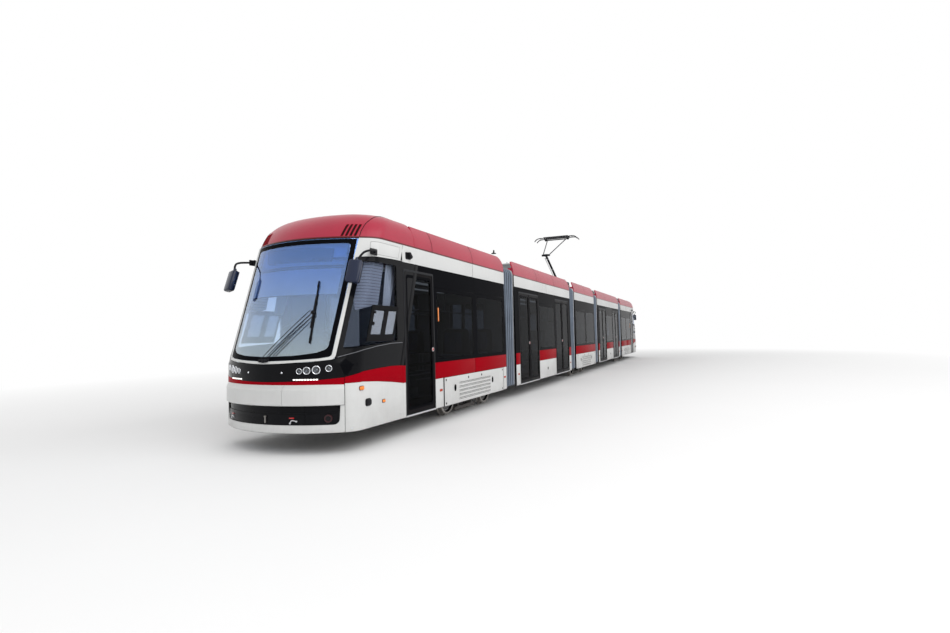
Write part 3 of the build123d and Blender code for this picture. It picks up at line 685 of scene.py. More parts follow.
# Finishes

def by_place(tree, mask, inside, outside):
    """One of two colours, by a mask between 0 and 1."""
    return mixed(tree, mask, (*outside, 1), (*inside, 1))


def step_at(tree, value, edge, soft=0.002):
    """A mask that rises from 0 to 1 at an edge."""
    return remap(tree, value, edge - soft, edge + soft)


def shell_colour(tree, position):
    """Black outside and light grey inside, told apart by how far out a place is."""
    split = add_node(tree, "ShaderNodeSeparateXYZ", {"Vector": position})
    side = worked(tree, "ABSOLUTE", split.outputs["Y"])
    return by_place(tree, step_at(tree, side, HALF - 0.048, 0.004), BLACK, (0.40, 0.40, 0.39))


def nose_colour(tree, position):
    """Black outside and dark grey inside, told apart by the distance from the nose's axis."""
    split = add_node(tree, "ShaderNodeSeparateXYZ", {"Vector": position})
    up = worked(tree, "MAXIMUM", worked(tree, "SUBTRACT", split.outputs["Z"], KNEE_Z), 0.0)
    ends = worked(tree, "ABSOLUTE", split.outputs["X"])
    reach = worked(tree, "ADD", worked(tree, "SUBTRACT", ends, -TIP_X - FRONT_R), worked(tree, "MULTIPLY", up, LEAN))
    side = worked(tree, "ABSOLUTE", split.outputs["Y"])
    squares = [worked(tree, "POWER", run, 2.0) for run in (reach, side)]
    radius = worked(tree, "SQRT", worked(tree, "ADD", *squares))
    outer = worked(tree, "MAXIMUM", step_at(tree, radius, FRONT_R - 0.03), step_at(tree, side, HALF - 0.048, 0.004))
    return by_place(tree, outer, BLACK, (0.050, 0.050, 0.053))


def roof_paint_and_painted_shade(tree, position):
    """Red dome and fairings, grey roof plate and boxes, pale ceiling, and painted shade of the drip edge along the
    eaves.
    """
    split = add_node(tree, "ShaderNodeSeparateXYZ", {"Vector": position})
    side = worked(tree, "ABSOLUTE", split.outputs["Y"])
    ends = worked(tree, "ABSOLUTE", split.outputs["X"])
    over = step_at(tree, split.outputs["Z"], EAVES_Z - 0.001, 0.001)
    red = worked(tree, "MULTIPLY", over, worked(tree, "MAXIMUM", step_at(tree, side, 1.0), step_at(tree, ends, 12.8)))
    pale = by_place(tree, over, (0.30, 0.31, 0.32), (0.72, 0.72, 0.70))
    # Up to 24 mm over the eaves the red skin is dark red: painted shade of the drip edge.
    skin = by_place(tree, step_at(tree, split.outputs["Z"], EAVES_Z + 0.024), ROOF_RED, (0.10, 0.003, 0.006))
    return mixed(tree, red, pale, skin)


def glass_colour(tree, position):
    """Smoky cab windows and dark passenger glass."""
    split = add_node(tree, "ShaderNodeSeparateXYZ", {"Vector": position})
    ends = worked(tree, "ABSOLUTE", split.outputs["X"])
    return by_place(tree, step_at(tree, ends, 13.2), (0.58, 0.62, 0.70), (0.10, 0.115, 0.14))


def screen_painted_reflection(tree, position):
    """Windscreen tint that paints in a sky reflection: pale at its foot and a deeper blue towards its head."""
    split = add_node(tree, "ShaderNodeSeparateXYZ", {"Vector": position})
    rise = remap(tree, split.outputs["Z"], 1.35, 2.80)
    return mixed(tree, rise, (0.80, 0.92, 1.0, 1), (0.30, 0.50, 0.93, 1))


def blind_painted_pleat_shade(tree, position):
    """Pale blind with a dark line every 45 mm, painted shade in the creases of its pleats."""
    split = add_node(tree, "ShaderNodeSeparateXYZ", {"Vector": position})
    within = worked(tree, "FRACT", worked(tree, "DIVIDE", split.outputs["Z"], 0.045))
    return by_place(tree, step_at(tree, within, 0.17, 0.03), (0.40, 0.42, 0.47), (0.16, 0.17, 0.20))


def fold_painted_shade(tree, position):
    """Bellows cloth with painted shade down in the folds and a painted highlight on the crests."""
    fold = add_node(tree, "ShaderNodeAttribute", attribute_name="fold").outputs["Fac"]
    return mixed(tree, remap(tree, fold, 0.55, 0.96), (0.016, 0.019, 0.024, 1), (0.175, 0.21, 0.265, 1))


def underframe_colour(tree, position):
    """Dark frame below, grey lip along its edges, and speckled floor covering on top."""
    split = add_node(tree, "ShaderNodeSeparateXYZ", {"Vector": position})
    side = worked(tree, "ABSOLUTE", split.outputs["Y"])
    speckle = remap(tree, noise(tree, position, 160.0, 1.0), 0.55, 0.62)
    covering = mixed(tree, speckle, (0.17, 0.175, 0.185, 1), (0.30, 0.30, 0.31, 1))
    under = by_place(tree, step_at(tree, side, 1.118), (0.20, 0.195, 0.185), (0.050, 0.048, 0.046))
    return mixed(tree, step_at(tree, split.outputs["Z"], 0.376, 0.003), under, covering)


WHITE = (0.61, 0.615, 0.61)
RED = (0.30, 0.001, 0.007)
# ROOF_RED is the red paint, chalkier on the roof, lifted lighter and pinker by a painted sky reflection on the dome
# and fairings.
ROOF_RED = (0.38, 0.022, 0.050)
BLACK = (0.004, 0.0042, 0.0055)

WHITE_PAINT = finish(
    "white_coachwork", "white_paint", WHITE, 0.30, specular=0.2, cloud=0.025, dust=0.30, dust_top=1.5,
)
RED_PAINT = finish("red_coachwork", "red_paint", RED, 0.30, specular=0.008, cloud=0.05, dust=0.015, dust_top=1.9)
ROOF_PAINT = finish(
    "roof_skin", "red_paint", ROOF_RED, 0.30, specular=0.3, cloud=0.06, dust=0.0, wear=0.15,
    wear_colour=(0.5, 0.2, 0.2), paint=roof_paint_and_painted_shade,
)
BLACK_GLOSS = finish(
    "black_gloss", "black_gloss", BLACK, 0.10, specular=0.08, cloud=0.15, dust=0.012, dust_top=2.4, grain=0.0006,
)
SHELL = finish(
    "car_shell", "white_paint", BLACK, 0.30, specular=0.005, cloud=0.08, dust=0.012, dust_top=1.6,
    paint=shell_colour,
)
NOSE_SHELL = finish(
    "nose_shell", "black_gloss", BLACK, 0.30, specular=0.01, cloud=0.08, dust=0.012, dust_top=1.6,
    paint=nose_colour,
)
FRIT = finish("glass_rim_enamel", "black_gloss", BLACK, 0.10, specular=0.005, cloud=0.1, grain=0.0)
GLASS = finish(
    "window_glass", "tinted_glass", (0.5, 0.5, 0.5), 0.02, cloud=0.02, grain=0.0, transmission=1.0, ior=1.06,
    paint=glass_colour, specular=0.2,
)
# The windscreen's graded tint, also carried by its metallic sheen, is a painted reflection of a blue sky.
SCREEN_GLASS = finish(
    "windscreen_glass", "tinted_glass", (0.5, 0.5, 0.5), 0.03, cloud=0.03, grain=0.0, transmission=1.0, ior=1.25,
    paint=screen_painted_reflection, metallic=0.24,
)
# The slider panes' bluish metallic tint is a painted reflection of a blue sky.
SLIDER_GLASS = finish(
    "slider_pane_glass", "tinted_glass", (0.62, 0.68, 0.78), 0.03, cloud=0.05, grain=0.0, transmission=1.0, ior=1.25,
    metallic=0.30,
)
DOOR_BLACK = finish(
    "door_leaf_paint", "door_frame", (0.006, 0.005, 0.006), 0.30, specular=0.02, cloud=0.1, dust=0.02,
    dust_top=1.4,
)
DOOR_TRIM = finish(
    "door_trim_grey", "door_frame", (0.024, 0.025, 0.028), 0.40, specular=0.04, cloud=0.08, dust=0.05,
    dust_top=1.4,
)
DRIP_GREY = finish("drip_rail_grey", "door_frame", (0.16, 0.165, 0.18), 0.40, specular=0.25, cloud=0.08)
SEAL = finish("seal_rubber", "bellows_rubber", (0.008, 0.008, 0.009), 0.65, specular=0.06, cloud=0.12, grain=0.001)
PLASTIC = finish(
    "black_plastic", "black_gloss", (0.011, 0.011, 0.013), 0.42, specular=0.10, cloud=0.12, grain=0.002,
    dust=0.08, dust_top=0.9,
)
ALUMINIUM = finish("satin_aluminium", "wheel_steel", (0.62, 0.63, 0.65), 0.32, metallic=1.0, cloud=0.05, wear=0.2)
CHROME = finish("lamp_ring_metal", "lamp_glass", (0.74, 0.76, 0.80), 0.12, metallic=1.0, cloud=0.04, grain=0.0)
LENS = finish(
    "clear_lens", "lamp_glass", (0.93, 0.95, 0.97), 0.02, cloud=0.01, grain=0.0, transmission=1.0, ior=1.45,
)
LED_WHITE = finish("lit_led", "lamp_glass", (1.0, 0.98, 0.93), 0.3, cloud=0.02, grain=0.0, strength=1.2)
AMBER = finish("amber_lens", "lamp_glass", (0.85, 0.22, 0.01), 0.12, coat=0.5, cloud=0.08, grain=0.0)
SOCKET_RED = finish("socket_rim_red", "lamp_glass", (0.035, 0.004, 0.006), 0.35, cloud=0.1)
MARKER_RED = finish("side_marker_lens", "lamp_glass", (0.42, 0.030, 0.006), 0.25, specular=0.2, cloud=0.08, grain=0.0)
RED_LENS = finish("red_lens", "lamp_glass", (0.55, 0.01, 0.01), 0.12, coat=0.5, cloud=0.08, grain=0.0)
REFLECTOR = finish("lamp_bowl_metal", "lamp_glass", (0.085, 0.095, 0.115), 0.25, metallic=1.0, cloud=0.12, grain=0.0)
PROJECTOR = finish("projector_glass", "lamp_glass", (0.10, 0.12, 0.15), 0.03, coat=0.6, cloud=0.05, grain=0.0)
# The mirror housings are black plastic. Their navy tint is a painted reflection of a blue sky.
MIRROR_SHELL = finish(
    "mirror_housing", "black_gloss", (0.010, 0.016, 0.040), 0.14, specular=0.3, cloud=0.12, grain=0.0008,
)
MIRROR_GLASS = finish("mirror_glass", "black_gloss", (0.55, 0.60, 0.66), 0.03, metallic=1.0, cloud=0.02, grain=0.0)
# The bellows cloth's colour carries painted shade in the folds and a painted highlight on the crests.
BELLOWS_FABRIC = finish(
    "bellows_cloth", "bellows_rubber", (0.105, 0.125, 0.155), 0.75, specular=0.1, cloud=0.14, cloud_scale=3,
    grain=0.003,
    grain_scale=180, dust=0.12, dust_top=2.6, streak=0.3, paint=fold_painted_shade,
)
TYRE_STEEL = finish(
    "tyre_steel", "wheel_steel", (0.36, 0.34, 0.32), 0.34, metallic=1.0, cloud=0.18, cloud_scale=9, dust=0.35,
    dust_top=0.6,
)
WHEEL_PAINT = finish(
    "wheel_paint", "dark_steel", (0.10, 0.10, 0.105), 0.50, cloud=0.2, cloud_scale=7, grain=0.002, dust=0.6,
    dust_top=1.0,
)
AXLE_STEEL = finish(
    "axle_steel", "wheel_steel", (0.20, 0.19, 0.18), 0.45, metallic=0.9, cloud=0.2, dust=0.4, dust_top=0.8,
)
BOX_PAINT = finish("roof_box_paint", "red_paint", (0.40, 0.41, 0.42), 0.45, cloud=0.1, wear=0.3, grain=0.001)
DUCT_GREY = finish("roof_duct_grey", "dark_steel", (0.16, 0.165, 0.17), 0.55, cloud=0.15, grain=0.001)
INSULATOR = finish("insulator_glaze", "pantograph_steel", (0.17, 0.06, 0.035), 0.14, coat=0.5, cloud=0.12, grain=0.0)
SPRING_STEEL = finish("spring_steel", "pantograph_steel", (0.30, 0.30, 0.31), 0.35, metallic=1.0, cloud=0.1)
CARBON = finish("carbon_strip", "pantograph_steel", (0.030, 0.030, 0.032), 0.5, cloud=0.25, cloud_scale=20, wear=0.4)
PANTO_STEEL = finish(
    "pantograph_paint", "pantograph_steel", (0.014, 0.015, 0.019), 0.42, specular=0.15, cloud=0.15, wear=0.12,
)
SEAT_PLASTIC = finish(
    "seat_shell_plastic", "seat_plastic", (0.075, 0.078, 0.085), 0.42, cloud=0.08, grain=0.002, wear=0.2,
)
SEAT_FABRIC = finish(
    "seat_moquette", "seat_plastic", (0.10, 0.12, 0.20), 0.9, cloud=0.25, cloud_scale=60, grain=0.004,
    grain_scale=900, sheen=0.4,
)
CAB_FABRIC = finish(
    "driver_seat_cloth", "seat_plastic", (0.045, 0.047, 0.055), 0.9, cloud=0.15, cloud_scale=40, grain=0.004,
    grain_scale=900,
    sheen=0.3,
)
GRAB_STEEL = finish("grab_rail_steel", "wheel_steel", (0.62, 0.62, 0.61), 0.24, metallic=1.0, cloud=0.05, wear=0.15)
PODEST_LINING = finish(
    "podest_lining", "dark_steel", (0.14, 0.145, 0.155), 0.6, cloud=0.2, cloud_scale=30, grain=0.002,
)
LIGHT_DIFFUSER = finish("light_diffuser", "lamp_glass", (0.90, 0.90, 0.87), 0.4, cloud=0.01, strength=0.5)
CAB_PLASTIC = finish(
    "desk_moulding", "desk_plastic", (0.060, 0.062, 0.068), 0.5, cloud=0.1, grain=0.003, grain_scale=500,
)
HEADER_GREY = finish("header_moulding", "desk_plastic", (0.42, 0.46, 0.52), 0.5, cloud=0.06, grain=0.002)
CAB_LINING = finish("cab_bulkhead", "desk_plastic", (0.085, 0.095, 0.115), 0.5, cloud=0.06, grain=0.002)
DISPLAY_BLACK = finish("blank_display", "black_gloss", (0.012, 0.013, 0.016), 0.25, cloud=0.15, cloud_scale=20)
SHADE_CLOTH = finish(
    "sun_shade_cloth", "seat_plastic", (0.36, 0.42, 0.52), 0.85, cloud=0.04, cloud_scale=8, grain=0.001,
    grain_scale=700,
)
# The side blind's dark lines are painted shade in its pleats.
BLIND_CLOTH = finish(
    "side_blind_cloth", "seat_plastic", (0.40, 0.42, 0.47), 0.8, cloud=0.05, grain=0.002, paint=blind_painted_pleat_shade,
)
PILLAR_CLOTH = finish(
    "pillar_curtain_cloth", "seat_plastic", (0.085, 0.09, 0.11), 0.9, cloud=0.06, cloud_scale=10, grain=0.003,
)
CURTAIN_CLOTH = finish(
    "curtain_cloth", "seat_plastic", (0.55, 0.57, 0.60), 0.9, cloud=0.06, cloud_scale=10, grain=0.003,
    grain_scale=600, sheen=0.2,
)
BOGIE_STEEL = finish(
    "bogie_paint", "dark_steel", (0.050, 0.050, 0.052), 0.60, metallic=0.1, cloud=0.25, cloud_scale=6, grain=0.002,
    dust=0.8, dust_top=0.9, streak=0.4, wear=0.2,
)
DARK_STEEL = finish(
    "underframe_skin", "dark_steel", (0.055, 0.052, 0.050), 0.60, cloud=0.2, cloud_scale=6, grain=0.002,
    dust=0.5, dust_top=0.36, streak=0.2, paint=underframe_colour,
)
FLOOR_PAINT = finish("pale_floor", "white_paint", (0.90, 0.90, 0.90), 0.75, cloud=0.006, cloud_scale=0.3, grain=0.0)

place_camera()
light_studio()
lay_floor()


# Nose, in front

def u_frame():
    """White frame round the tow cover, with a lip below it."""
    outline = [
        (-SEAM + GAP, 0.303), (SEAM - GAP, 0.303), (SEAM - GAP, 0.664), (1.088, 0.664), (1.076, 0.408),
        (-1.076, 0.408), (-1.088, 0.664), (-SEAM + GAP, 0.664),
    ]
    bm = plate(outline, [0.012, 0.012, 0.004, 0.004, 0.075, 0.075, 0.004, 0.004], -0.010, 0.006, 0.004)
    return wrapped(sliced(bm, 0.06), on_nose)


def stripe_top(along):
    """Height of the red stripe's top in front, rising to the seams."""
    return 0.980 + 0.052 * (along / SEAM) ** 2


def front_stripe():
    """Red stripe over the bumper."""
    low, high = 0.936, 0.980
    bm = plate(rectangle(-SEAM + GAP, SEAM - GAP, low, high), 0, 0.0, SKIN)

    def place(along, up, out):
        rise = (up - low) / (high - low)
        return on_nose(along, low + rise * (stripe_top(along) - low), out)
    return wrapped(sliced(bm, 0.06), place)


BUMPER = (0.668, 0.942)
BUMPER_JOINTS = (-SEAM + GAP, -0.514, 0.340, SEAM - GAP)
BUMPER_CREASES = (0.674, 0.679, 0.872, 0.880, 0.886, 0.915)


def bumper_reach(along, up):
    """How far the bumper stands out: flat in front, a sloping ledge on top, slimmer towards the seams."""
    ledge = min(1.0, max(0.0, (BUMPER[1] - up) / 0.062))
    foot = min(1.0, 0.72 + 28 * (up - BUMPER[0]))
    slim = max(0.0, (abs(along) - 0.62) / (SEAM - 0.62))
    end = min(1.0, (SEAM - abs(along)) / 0.030 + 0.45)
    return (0.074 - 0.050 * slim ** 1.5) * (0.06 + 0.94 * ledge) * foot * end


def bumper_shell():
    """Three bumper parts side by side, with hairline joints."""
    parts = []
    for start, end in zip(BUMPER_JOINTS, BUMPER_JOINTS[1:]):
        bm = plate(rectangle(start + 0.002, end - 0.002, *BUMPER), 0, 0.0, 1.0, 0)
        for level in BUMPER_CREASES:
            cut(bm, (0, level, 0), (0, 1, 0))
        parts.append(sliced(bm, 0.04))
    return wrapped(joined(*parts), lambda a, up, out: on_nose(a, up, out * bumper_reach(a, up)))


# Lamp centres on the nose, with the radius of each
LAMP_PLACES = [
    # along, up, radius
    (0.549, 1.125, 0.038),
    (0.652, 1.132, 0.048),
    (0.779, 1.140, 0.054),
    (0.943, 1.157, 0.042),
]
LED_ALONG = (0.459, 0.805)
LED_UP = (1.004, 1.020)


def mask_plate():
    """Black gloss mask between the stripe and the trim line, with holes for the lamps."""
    low, high = 0.990, 1.215
    holes = []
    for side in (-1, 1):
        holes += [circle(side * a, up, radius + 0.001) for a, up, radius in LAMP_PLACES]
        holes.append(rectangle(*sorted((side * LED_ALONG[0], side * LED_ALONG[1])), *LED_UP))
    bm = plate(rectangle(-SEAM + GAP, SEAM - GAP, low, high), 0, 0.0, 0.003, 0.0008, holes)

    def place(along, up, out):
        bottom = max(0.0, (low + 0.02 - up) / 0.02)
        top = max(0.0, (up - high + 0.02) / 0.02)
        lift = bottom * (stripe_top(along) - low + 0.002) + top * 0.085 * (along / SEAM) ** 2
        return on_nose(along, up + lift, out)
    return wrapped(sliced(bm, 0.06), place)


def trim_frame():
    """White trim line under the windscreen that turns up into the two pillars."""
    outer = [
        (0.0, 1.221), (0.25, 1.228), (0.475, 1.240), (0.80, 1.258), (1.008, 1.276), (1.018, 1.60),
        (1.034, 2.715),
    ]
    inner = [
        (0.985, 2.715), (0.980, 2.275), (0.964, 1.60), (0.958, 1.312), (0.80, 1.290), (0.475, 1.271), (0.25, 1.262),
        (0.0, 1.257),
    ]
    left_inner = [(-a, up) for a, up in reversed(inner[:-1])]
    left_outer = [(-a, up) for a, up in reversed(outer[1:])]
    points = outer + inner + left_inner + left_outer
    radius = [0] * len(points)
    radius[points.index((1.008, 1.276))] = 0.055
    radius[points.index((-1.008, 1.276))] = 0.055
    radius[points.index((0.958, 1.312))] = 0.040
    radius[points.index((-0.958, 1.312))] = 0.040
    bm = plate(points, radius, 0.0, 0.006, 0.002)
    return wrapped(sliced(bm, 0.06), on_nose)


def screen_frit():
    """Black enamel rim on the windscreen, wider at its foot."""
    rim = [
        (0.0, 1.260), (0.475, 1.274), (0.80, 1.293), (0.952, 1.318), (0.958, 1.60), (0.974, 2.275), (0.978, 2.985),
    ]
    clear = [(0.0, 1.318), (0.45, 1.334), (0.74, 1.366), (0.888, 1.420), (0.893, 1.70), (0.903, 2.30), (0.905, 2.922)]
    outline = [(-a, up) for a, up in reversed(rim[1:])] + rim
    hole = [(-a, up) for a, up in reversed(clear[1:])] + clear
    bm = bmesh.new()
    face_from(bm, outline, [0.012 if up > 2.9 else 0.03 if abs(a) > 0.94 and up < 1.35 else 0 for a, up in outline])
    face_from(bm, hole, [0.045 if up > 2.9 or (abs(a) > 0.88 and up < 1.45) else 0 for a, up in hole])
    return wrapped(sliced(thickened(filled(bm), 0.0003, 0.0016), 0.06), on_nose)


# Nose, at its sides

JOINT_X = -13.269
POST_X = -13.166
SIDE_STRIPE_TOP = [(SEAM + GAP, 1.036), (1.442, 1.095), (1.781, 1.113), (2.148, 1.125), (2.466, 1.116)]
SIDE_STRIPE_LOW = [(SEAM + GAP, 0.954), (1.440, 0.956), (1.776, 0.931), (2.142, 0.891), (2.466, 0.846)]
SIDE_LINE = [(1.032, 1.301), (1.180, 1.340), (1.389, 1.389), (1.714, 1.432), (2.073, 1.464), (2.390, 1.470)]
SIDE_BAND_LOW = [(1.034, 2.715), (1.30, 2.732), (1.70, 2.744), (2.10, 2.750)]


def curve_height(points, along):
    """Height of a smooth line through a few points."""
    for (a0, z0), (a1, z1) in zip(points, points[1:]):
        if along <= a1 or (a1, z1) == points[-1]:
            share = min(1.0, max(0.0, (along - a0) / (a1 - a0)))
            return z0 + share * (z1 - z0)


def between_lines(low, high, start, end, inner, outer, edge=0.0012, radius=0.0):
    """A plate between two lines of (along, up) points."""
    inside_low = [p for p in low if start < p[0] < end]
    inside_high = [p for p in high if start < p[0] < end]
    points = [(start, curve_height(low, start))] + inside_low + [(end, curve_height(low, end))]
    points += [(end, curve_height(high, end))] + inside_high[::-1] + [(start, curve_height(high, start))]
    return plate(points, radius, inner, outer, edge)


def end_along(z, x=JOINT_X):
    """Along of a place near the cab's rear joint, at one height."""
    return along_at(x, z)


def nose_side_white(side):
    """White panel below the stripe, from the seam to the joint before the door."""
    end = end_along(0.6) - GAP / 2
    foot = [(SEAM + GAP, 0.303), (end, 0.303)]
    top = [(a, up - GAP) for a, up in SIDE_STRIPE_LOW]
    bm = between_lines(foot, top, SEAM + GAP, end, 0.0, SKIN)
    post = plate(rectangle(end + GAP, end_along(0.6, POST_X), 0.303, 0.840), 0, 0.0, SKIN)
    return wrapped(sliced(joined(bm, post), 0.05), on_nose_side(side))


def nose_side_stripe(side):
    """Red stripe from the seam to the door."""
    end = end_along(0.6) - GAP / 2
    bm = between_lines(SIDE_STRIPE_LOW, SIDE_STRIPE_TOP, SEAM + GAP, end, 0.0, SKIN)
    post = plate(rectangle(end + GAP, end_along(0.6, POST_X), 0.843, 1.108), 0, 0.0, SKIN)
    return wrapped(sliced(joined(bm, post), 0.05), on_nose_side(side))


def nose_side_band(side):
    """White band over the cab window with its flap."""
    end = end_along(2.9) - GAP / 2
    low = SIDE_BAND_LOW + [(end, 2.755)]
    top = 3.003
    outline = [(0.985, 2.715)] + low + [(end, top), (1.001, top)]
    hatch = [(1.20, 2.762), (1.88, 2.772), (1.88, 2.955), (1.17, 2.955)]
    bm = bmesh.new()
    face_from(bm, outline)
    face_from(bm, hatch, 0.030)
    band = thickened(filled(bm), 0.0, SKIN)
    inset = [(1.204, 2.766), (1.876, 2.776), (1.876, 2.951), (1.174, 2.951)]
    flap = plate(inset, 0.027, 0.0, SKIN)
    post = plate(rectangle(end + GAP, end_along(2.9, CAB_BACK - 0.002), 2.752, top), 0, 0.0, SKIN)
    return wrapped(sliced(joined(band, flap, post), 0.05), on_nose_side(side))


def nose_side_black(side):
    """Black gloss side of the cab, round its window, between the trim pillar and the door."""
    end = end_along(1.4) - GAP / 2
    low = [(a, up + GAP) for a, up in SIDE_STRIPE_TOP]
    outline = [(SEAM + GAP, low[0][1])] + low[1:-1] + [(end, 1.119)]
    outline += [
        (end, 2.751), (2.10, 2.746), (1.70, 2.740), (1.30, 2.728), (1.040, 2.711), (1.026, 1.60),
        (1.016, 1.288),
    ]
    outline += [(SEAM - 0.020, 1.300)]
    clear = [(1.085, 1.410), (1.110, 2.652), (end_along(2.65, -13.386), 2.655), (end_along(1.5, -13.395), 1.500)]
    bm = bmesh.new()
    face_from(bm, outline)
    face_from(bm, clear, 0.045)
    surround = thickened(filled(bm), 0.0004, 0.0022)
    post = plate(rectangle(end + GAP, end_along(1.4, POST_X), 1.111, 2.748), 0, 0.0, SKIN)
    return wrapped(sliced(joined(surround, post), 0.05), on_nose_side(side))


def nose_side_line(side):
    """Grey drip line below the cab window."""
    low = [(a, up - 0.004) for a, up in SIDE_LINE]
    high = [(a, up + 0.004) for a, up in SIDE_LINE]
    bm = between_lines(low, high, 1.040, 2.388, 0.0, 0.005, 0.001)
    return wrapped(sliced(bm, 0.05), on_nose_side(side))


SLIDER_LEVEL = 1.8
SLIDER_X = (-14.120, -13.79, -13.685, -13.431)
SLIDER_Z = (1.600, 1.945)


def slider_edges():
    """Edges of the sliding part and of the bar in its middle, along the nose."""
    return [end_along(SLIDER_LEVEL, x) for x in SLIDER_X]


def window_slider(side):
    """Frame of the sliding part of the cab window, open at its two small panes, with a rail across."""
    x0, _, _, x1 = slider_edges()
    outline = rectangle(x0, x1, 1.500, 2.022)
    frame_plate = plate(outline, 0.012, 0.001, 0.012, 0.003, slider_openings(), 0.010)
    rail = plate(rectangle(x0, x1, 1.955, 1.975), 0, 0.012, 0.016, 0.002)
    return wrapped(sliced(joined(frame_plate, rail), 0.05), on_nose_side(side))


def slider_openings():
    """Outlines of the two small panes in the sliding part of the cab window."""
    x0, middle0, middle1, x1 = slider_edges()
    return [rectangle(x0 + 0.075, middle0, *SLIDER_Z), rectangle(middle1, x1 - 0.03, *SLIDER_Z)]


def slider_panes(side):
    """The two small panes of the sliding part, whose blue tint is a painted reflection of the sky."""
    flat = [plate(outline, 0.008, 0.002, 0.006, 0.001) for outline in slider_openings()]
    return wrapped(sliced(joined(*flat), 0.05), on_nose_side(side))


def slider_latch(side):
    """Two small handles on the sliding pane."""
    x0 = end_along(SLIDER_LEVEL, -14.060)
    upper = plate(rectangle(x0, x0 + 0.035, 1.900, 1.935), 0.008, 0.012, 0.030, 0.004)
    lower = plate(rectangle(x0 - 0.005, x0 + 0.045, 1.730, 1.780), 0.012, 0.012, 0.028, 0.004)
    return wrapped(joined(upper, lower), on_nose_side(side))


def nose_pieces():
    """The cab's outer panels at both ends."""
    both_ends("mask_frame", u_frame(), WHITE_PAINT, "cab_car")
    both_ends("nose_stripe", front_stripe(), RED_PAINT, "cab_car")
    both_ends("bumper_shell", bumper_shell(), WHITE_PAINT, "cab_car", 30, ["bumper"])
    both_ends("lamp_mask", mask_plate(), BLACK_GLOSS, "cab_car")
    both_ends("trim_and_pillars", trim_frame(), WHITE_PAINT, "cab_car")
    both_ends("windscreen_rim", screen_frit(), FRIT, "cab_car")
    both_ends("nose_side_panels", both_sides(nose_side_white), WHITE_PAINT, "cab_car")
    both_ends("nose_side_stripes", both_sides(nose_side_stripe), RED_PAINT, "cab_car")
    both_ends("nose_side_bands", both_sides(nose_side_band), WHITE_PAINT, "cab_car")
    both_ends("cab_window_surrounds", both_sides(nose_side_black), BLACK_GLOSS, "cab_car")
    both_ends("cab_drip_lines", both_sides(nose_side_line), DRIP_GREY, "cab_car")
    both_ends("cab_window_sliders", both_sides(window_slider), SEAL, "cab_car")
    both_ends("slider_panes", both_sides(slider_panes), SLIDER_GLASS, "cab_car")
    both_ends("slider_latches", both_sides(slider_latch), SEAL, "cab_car")


nose_pieces()


# Sides of the five cars

# Bands over the windows, stripes and white panels of the front half, as x ranges
CAB_CAR_BAND = [(CAB_BACK + 0.001, -10.489), (-10.475, CAB_END - 0.004)]
CAB_CAR_STRIPE = [(-12.215, -10.488), (-10.476, CAB_END - 0.004)]
CAB_CAR_PANELS = [(-12.215, -11.905), (-8.894, CAB_END - 0.004)]
DOOR_CAR_BAND = [(DOOR_X0 + 0.004, -5.208), (-5.194, DOOR_X1 - 0.004)]
DOOR_CAR_STRIPE = [(DOOR_X0 + 0.004, -7.690), (-6.070, -4.318), (-2.699, DOOR_X1 - 0.004)]
MID_CAR_BAND = [(-MID_X + 0.004, -0.007), (0.007, MID_X - 0.004)]
MID_CAR_STRIPE = [(-MID_X + 0.004, MID_X - 0.004)]
CAB_CAR_SKIRTS = [
    # skirt from and to, louvres from and to
    (-11.858, -8.918, -11.250, -9.700),
]
MID_CAR_SKIRTS = [(-1.500, 1.500, -0.775, 0.775)]
MID_CAR_PANELS = [(-MID_X + 0.004, -1.512), (1.512, MID_X - 0.004)]
PANEL_Z = (0.306, 0.811)
SKIRT_Z = (0.300, 0.807)
LOUVRES = 5
LOUVRE_Z = 0.372
LOUVRE_PITCH = 0.0732
LOUVRE_LEVELS = [LOUVRE_Z + k * LOUVRE_PITCH for k in range(LOUVRES)]
LOUVRE_HALF = 0.016
OVAL_Z = 0.590
SKIRT_OUT = 0.005
OVAL_OFF = (0.171, 0.126)


def side_plates(ranges, low, high):
    """Plates on both side walls over some x ranges."""
    return on_walls([plate(rectangle(x0, x1, low, high), 0.0, 0.0, SKIN) for x0, x1 in ranges], knee=True)


def skirt_plates(ranges):
    """Skirts with louvres and two oval slots."""
    flat = []
    for x0, x1, first, last in ranges:
        slots = [rectangle(first, last, z - LOUVRE_HALF, z + LOUVRE_HALF) for z in LOUVRE_LEVELS]
        slots += [oval(x, OVAL_Z) for x in (first - OVAL_OFF[0], last + OVAL_OFF[1])]
        flat.append(plate(rectangle(x0, x1, *SKIRT_Z), 0.012, 0.0, SKIRT_OUT, 0.0015, slots, 0.006))
    return on_walls(flat)


def oval(x, z, half=0.050, height=0.066):
    """An upright slot with round ends."""
    top = [(x + half * cos(pi * k / 8), z + height - half + half * sin(pi * k / 8)) for k in range(9)]
    low = [(x - half * cos(pi * k / 8), z - height + half - half * sin(pi * k / 8)) for k in range(9)]
    return top + low


def louvre_blades(ranges):
    """Slanted blades in the skirts' louvres."""
    flat = []
    for _, _, first, last in ranges:
        for z in LOUVRE_LEVELS:
            blade = brick(first - 0.008, last + 0.008, -0.013, 0.013, -0.0015, 0.0015, 0.001, 1)
            flat.append(moved(spun(blade, radians(-52), "X"), y=z, z=-0.002))
    return on_walls(flat)


def skirt_fasteners(ranges):
    """Corner bolts and the two quarter-turn latches."""
    latch = [(0, 0), (0.024, 0), (0.024, 0.002), (0.016, 0.004), (0, 0.004)]
    flat = []
    for x0, x1, first, last in ranges:
        corners = [(x, z) for x in (x0 + 0.06, x1 - 0.06) for z in (0.345, 0.762)]
        flat += [moved(bolt(0.014, 0.005), x, z, SKIRT_OUT) for x, z in corners]
        flat += [moved(lathe(latch, 20), x, 0.742, SKIRT_OUT) for x in (first + 0.419, last - 0.478)]
    return on_walls(flat)


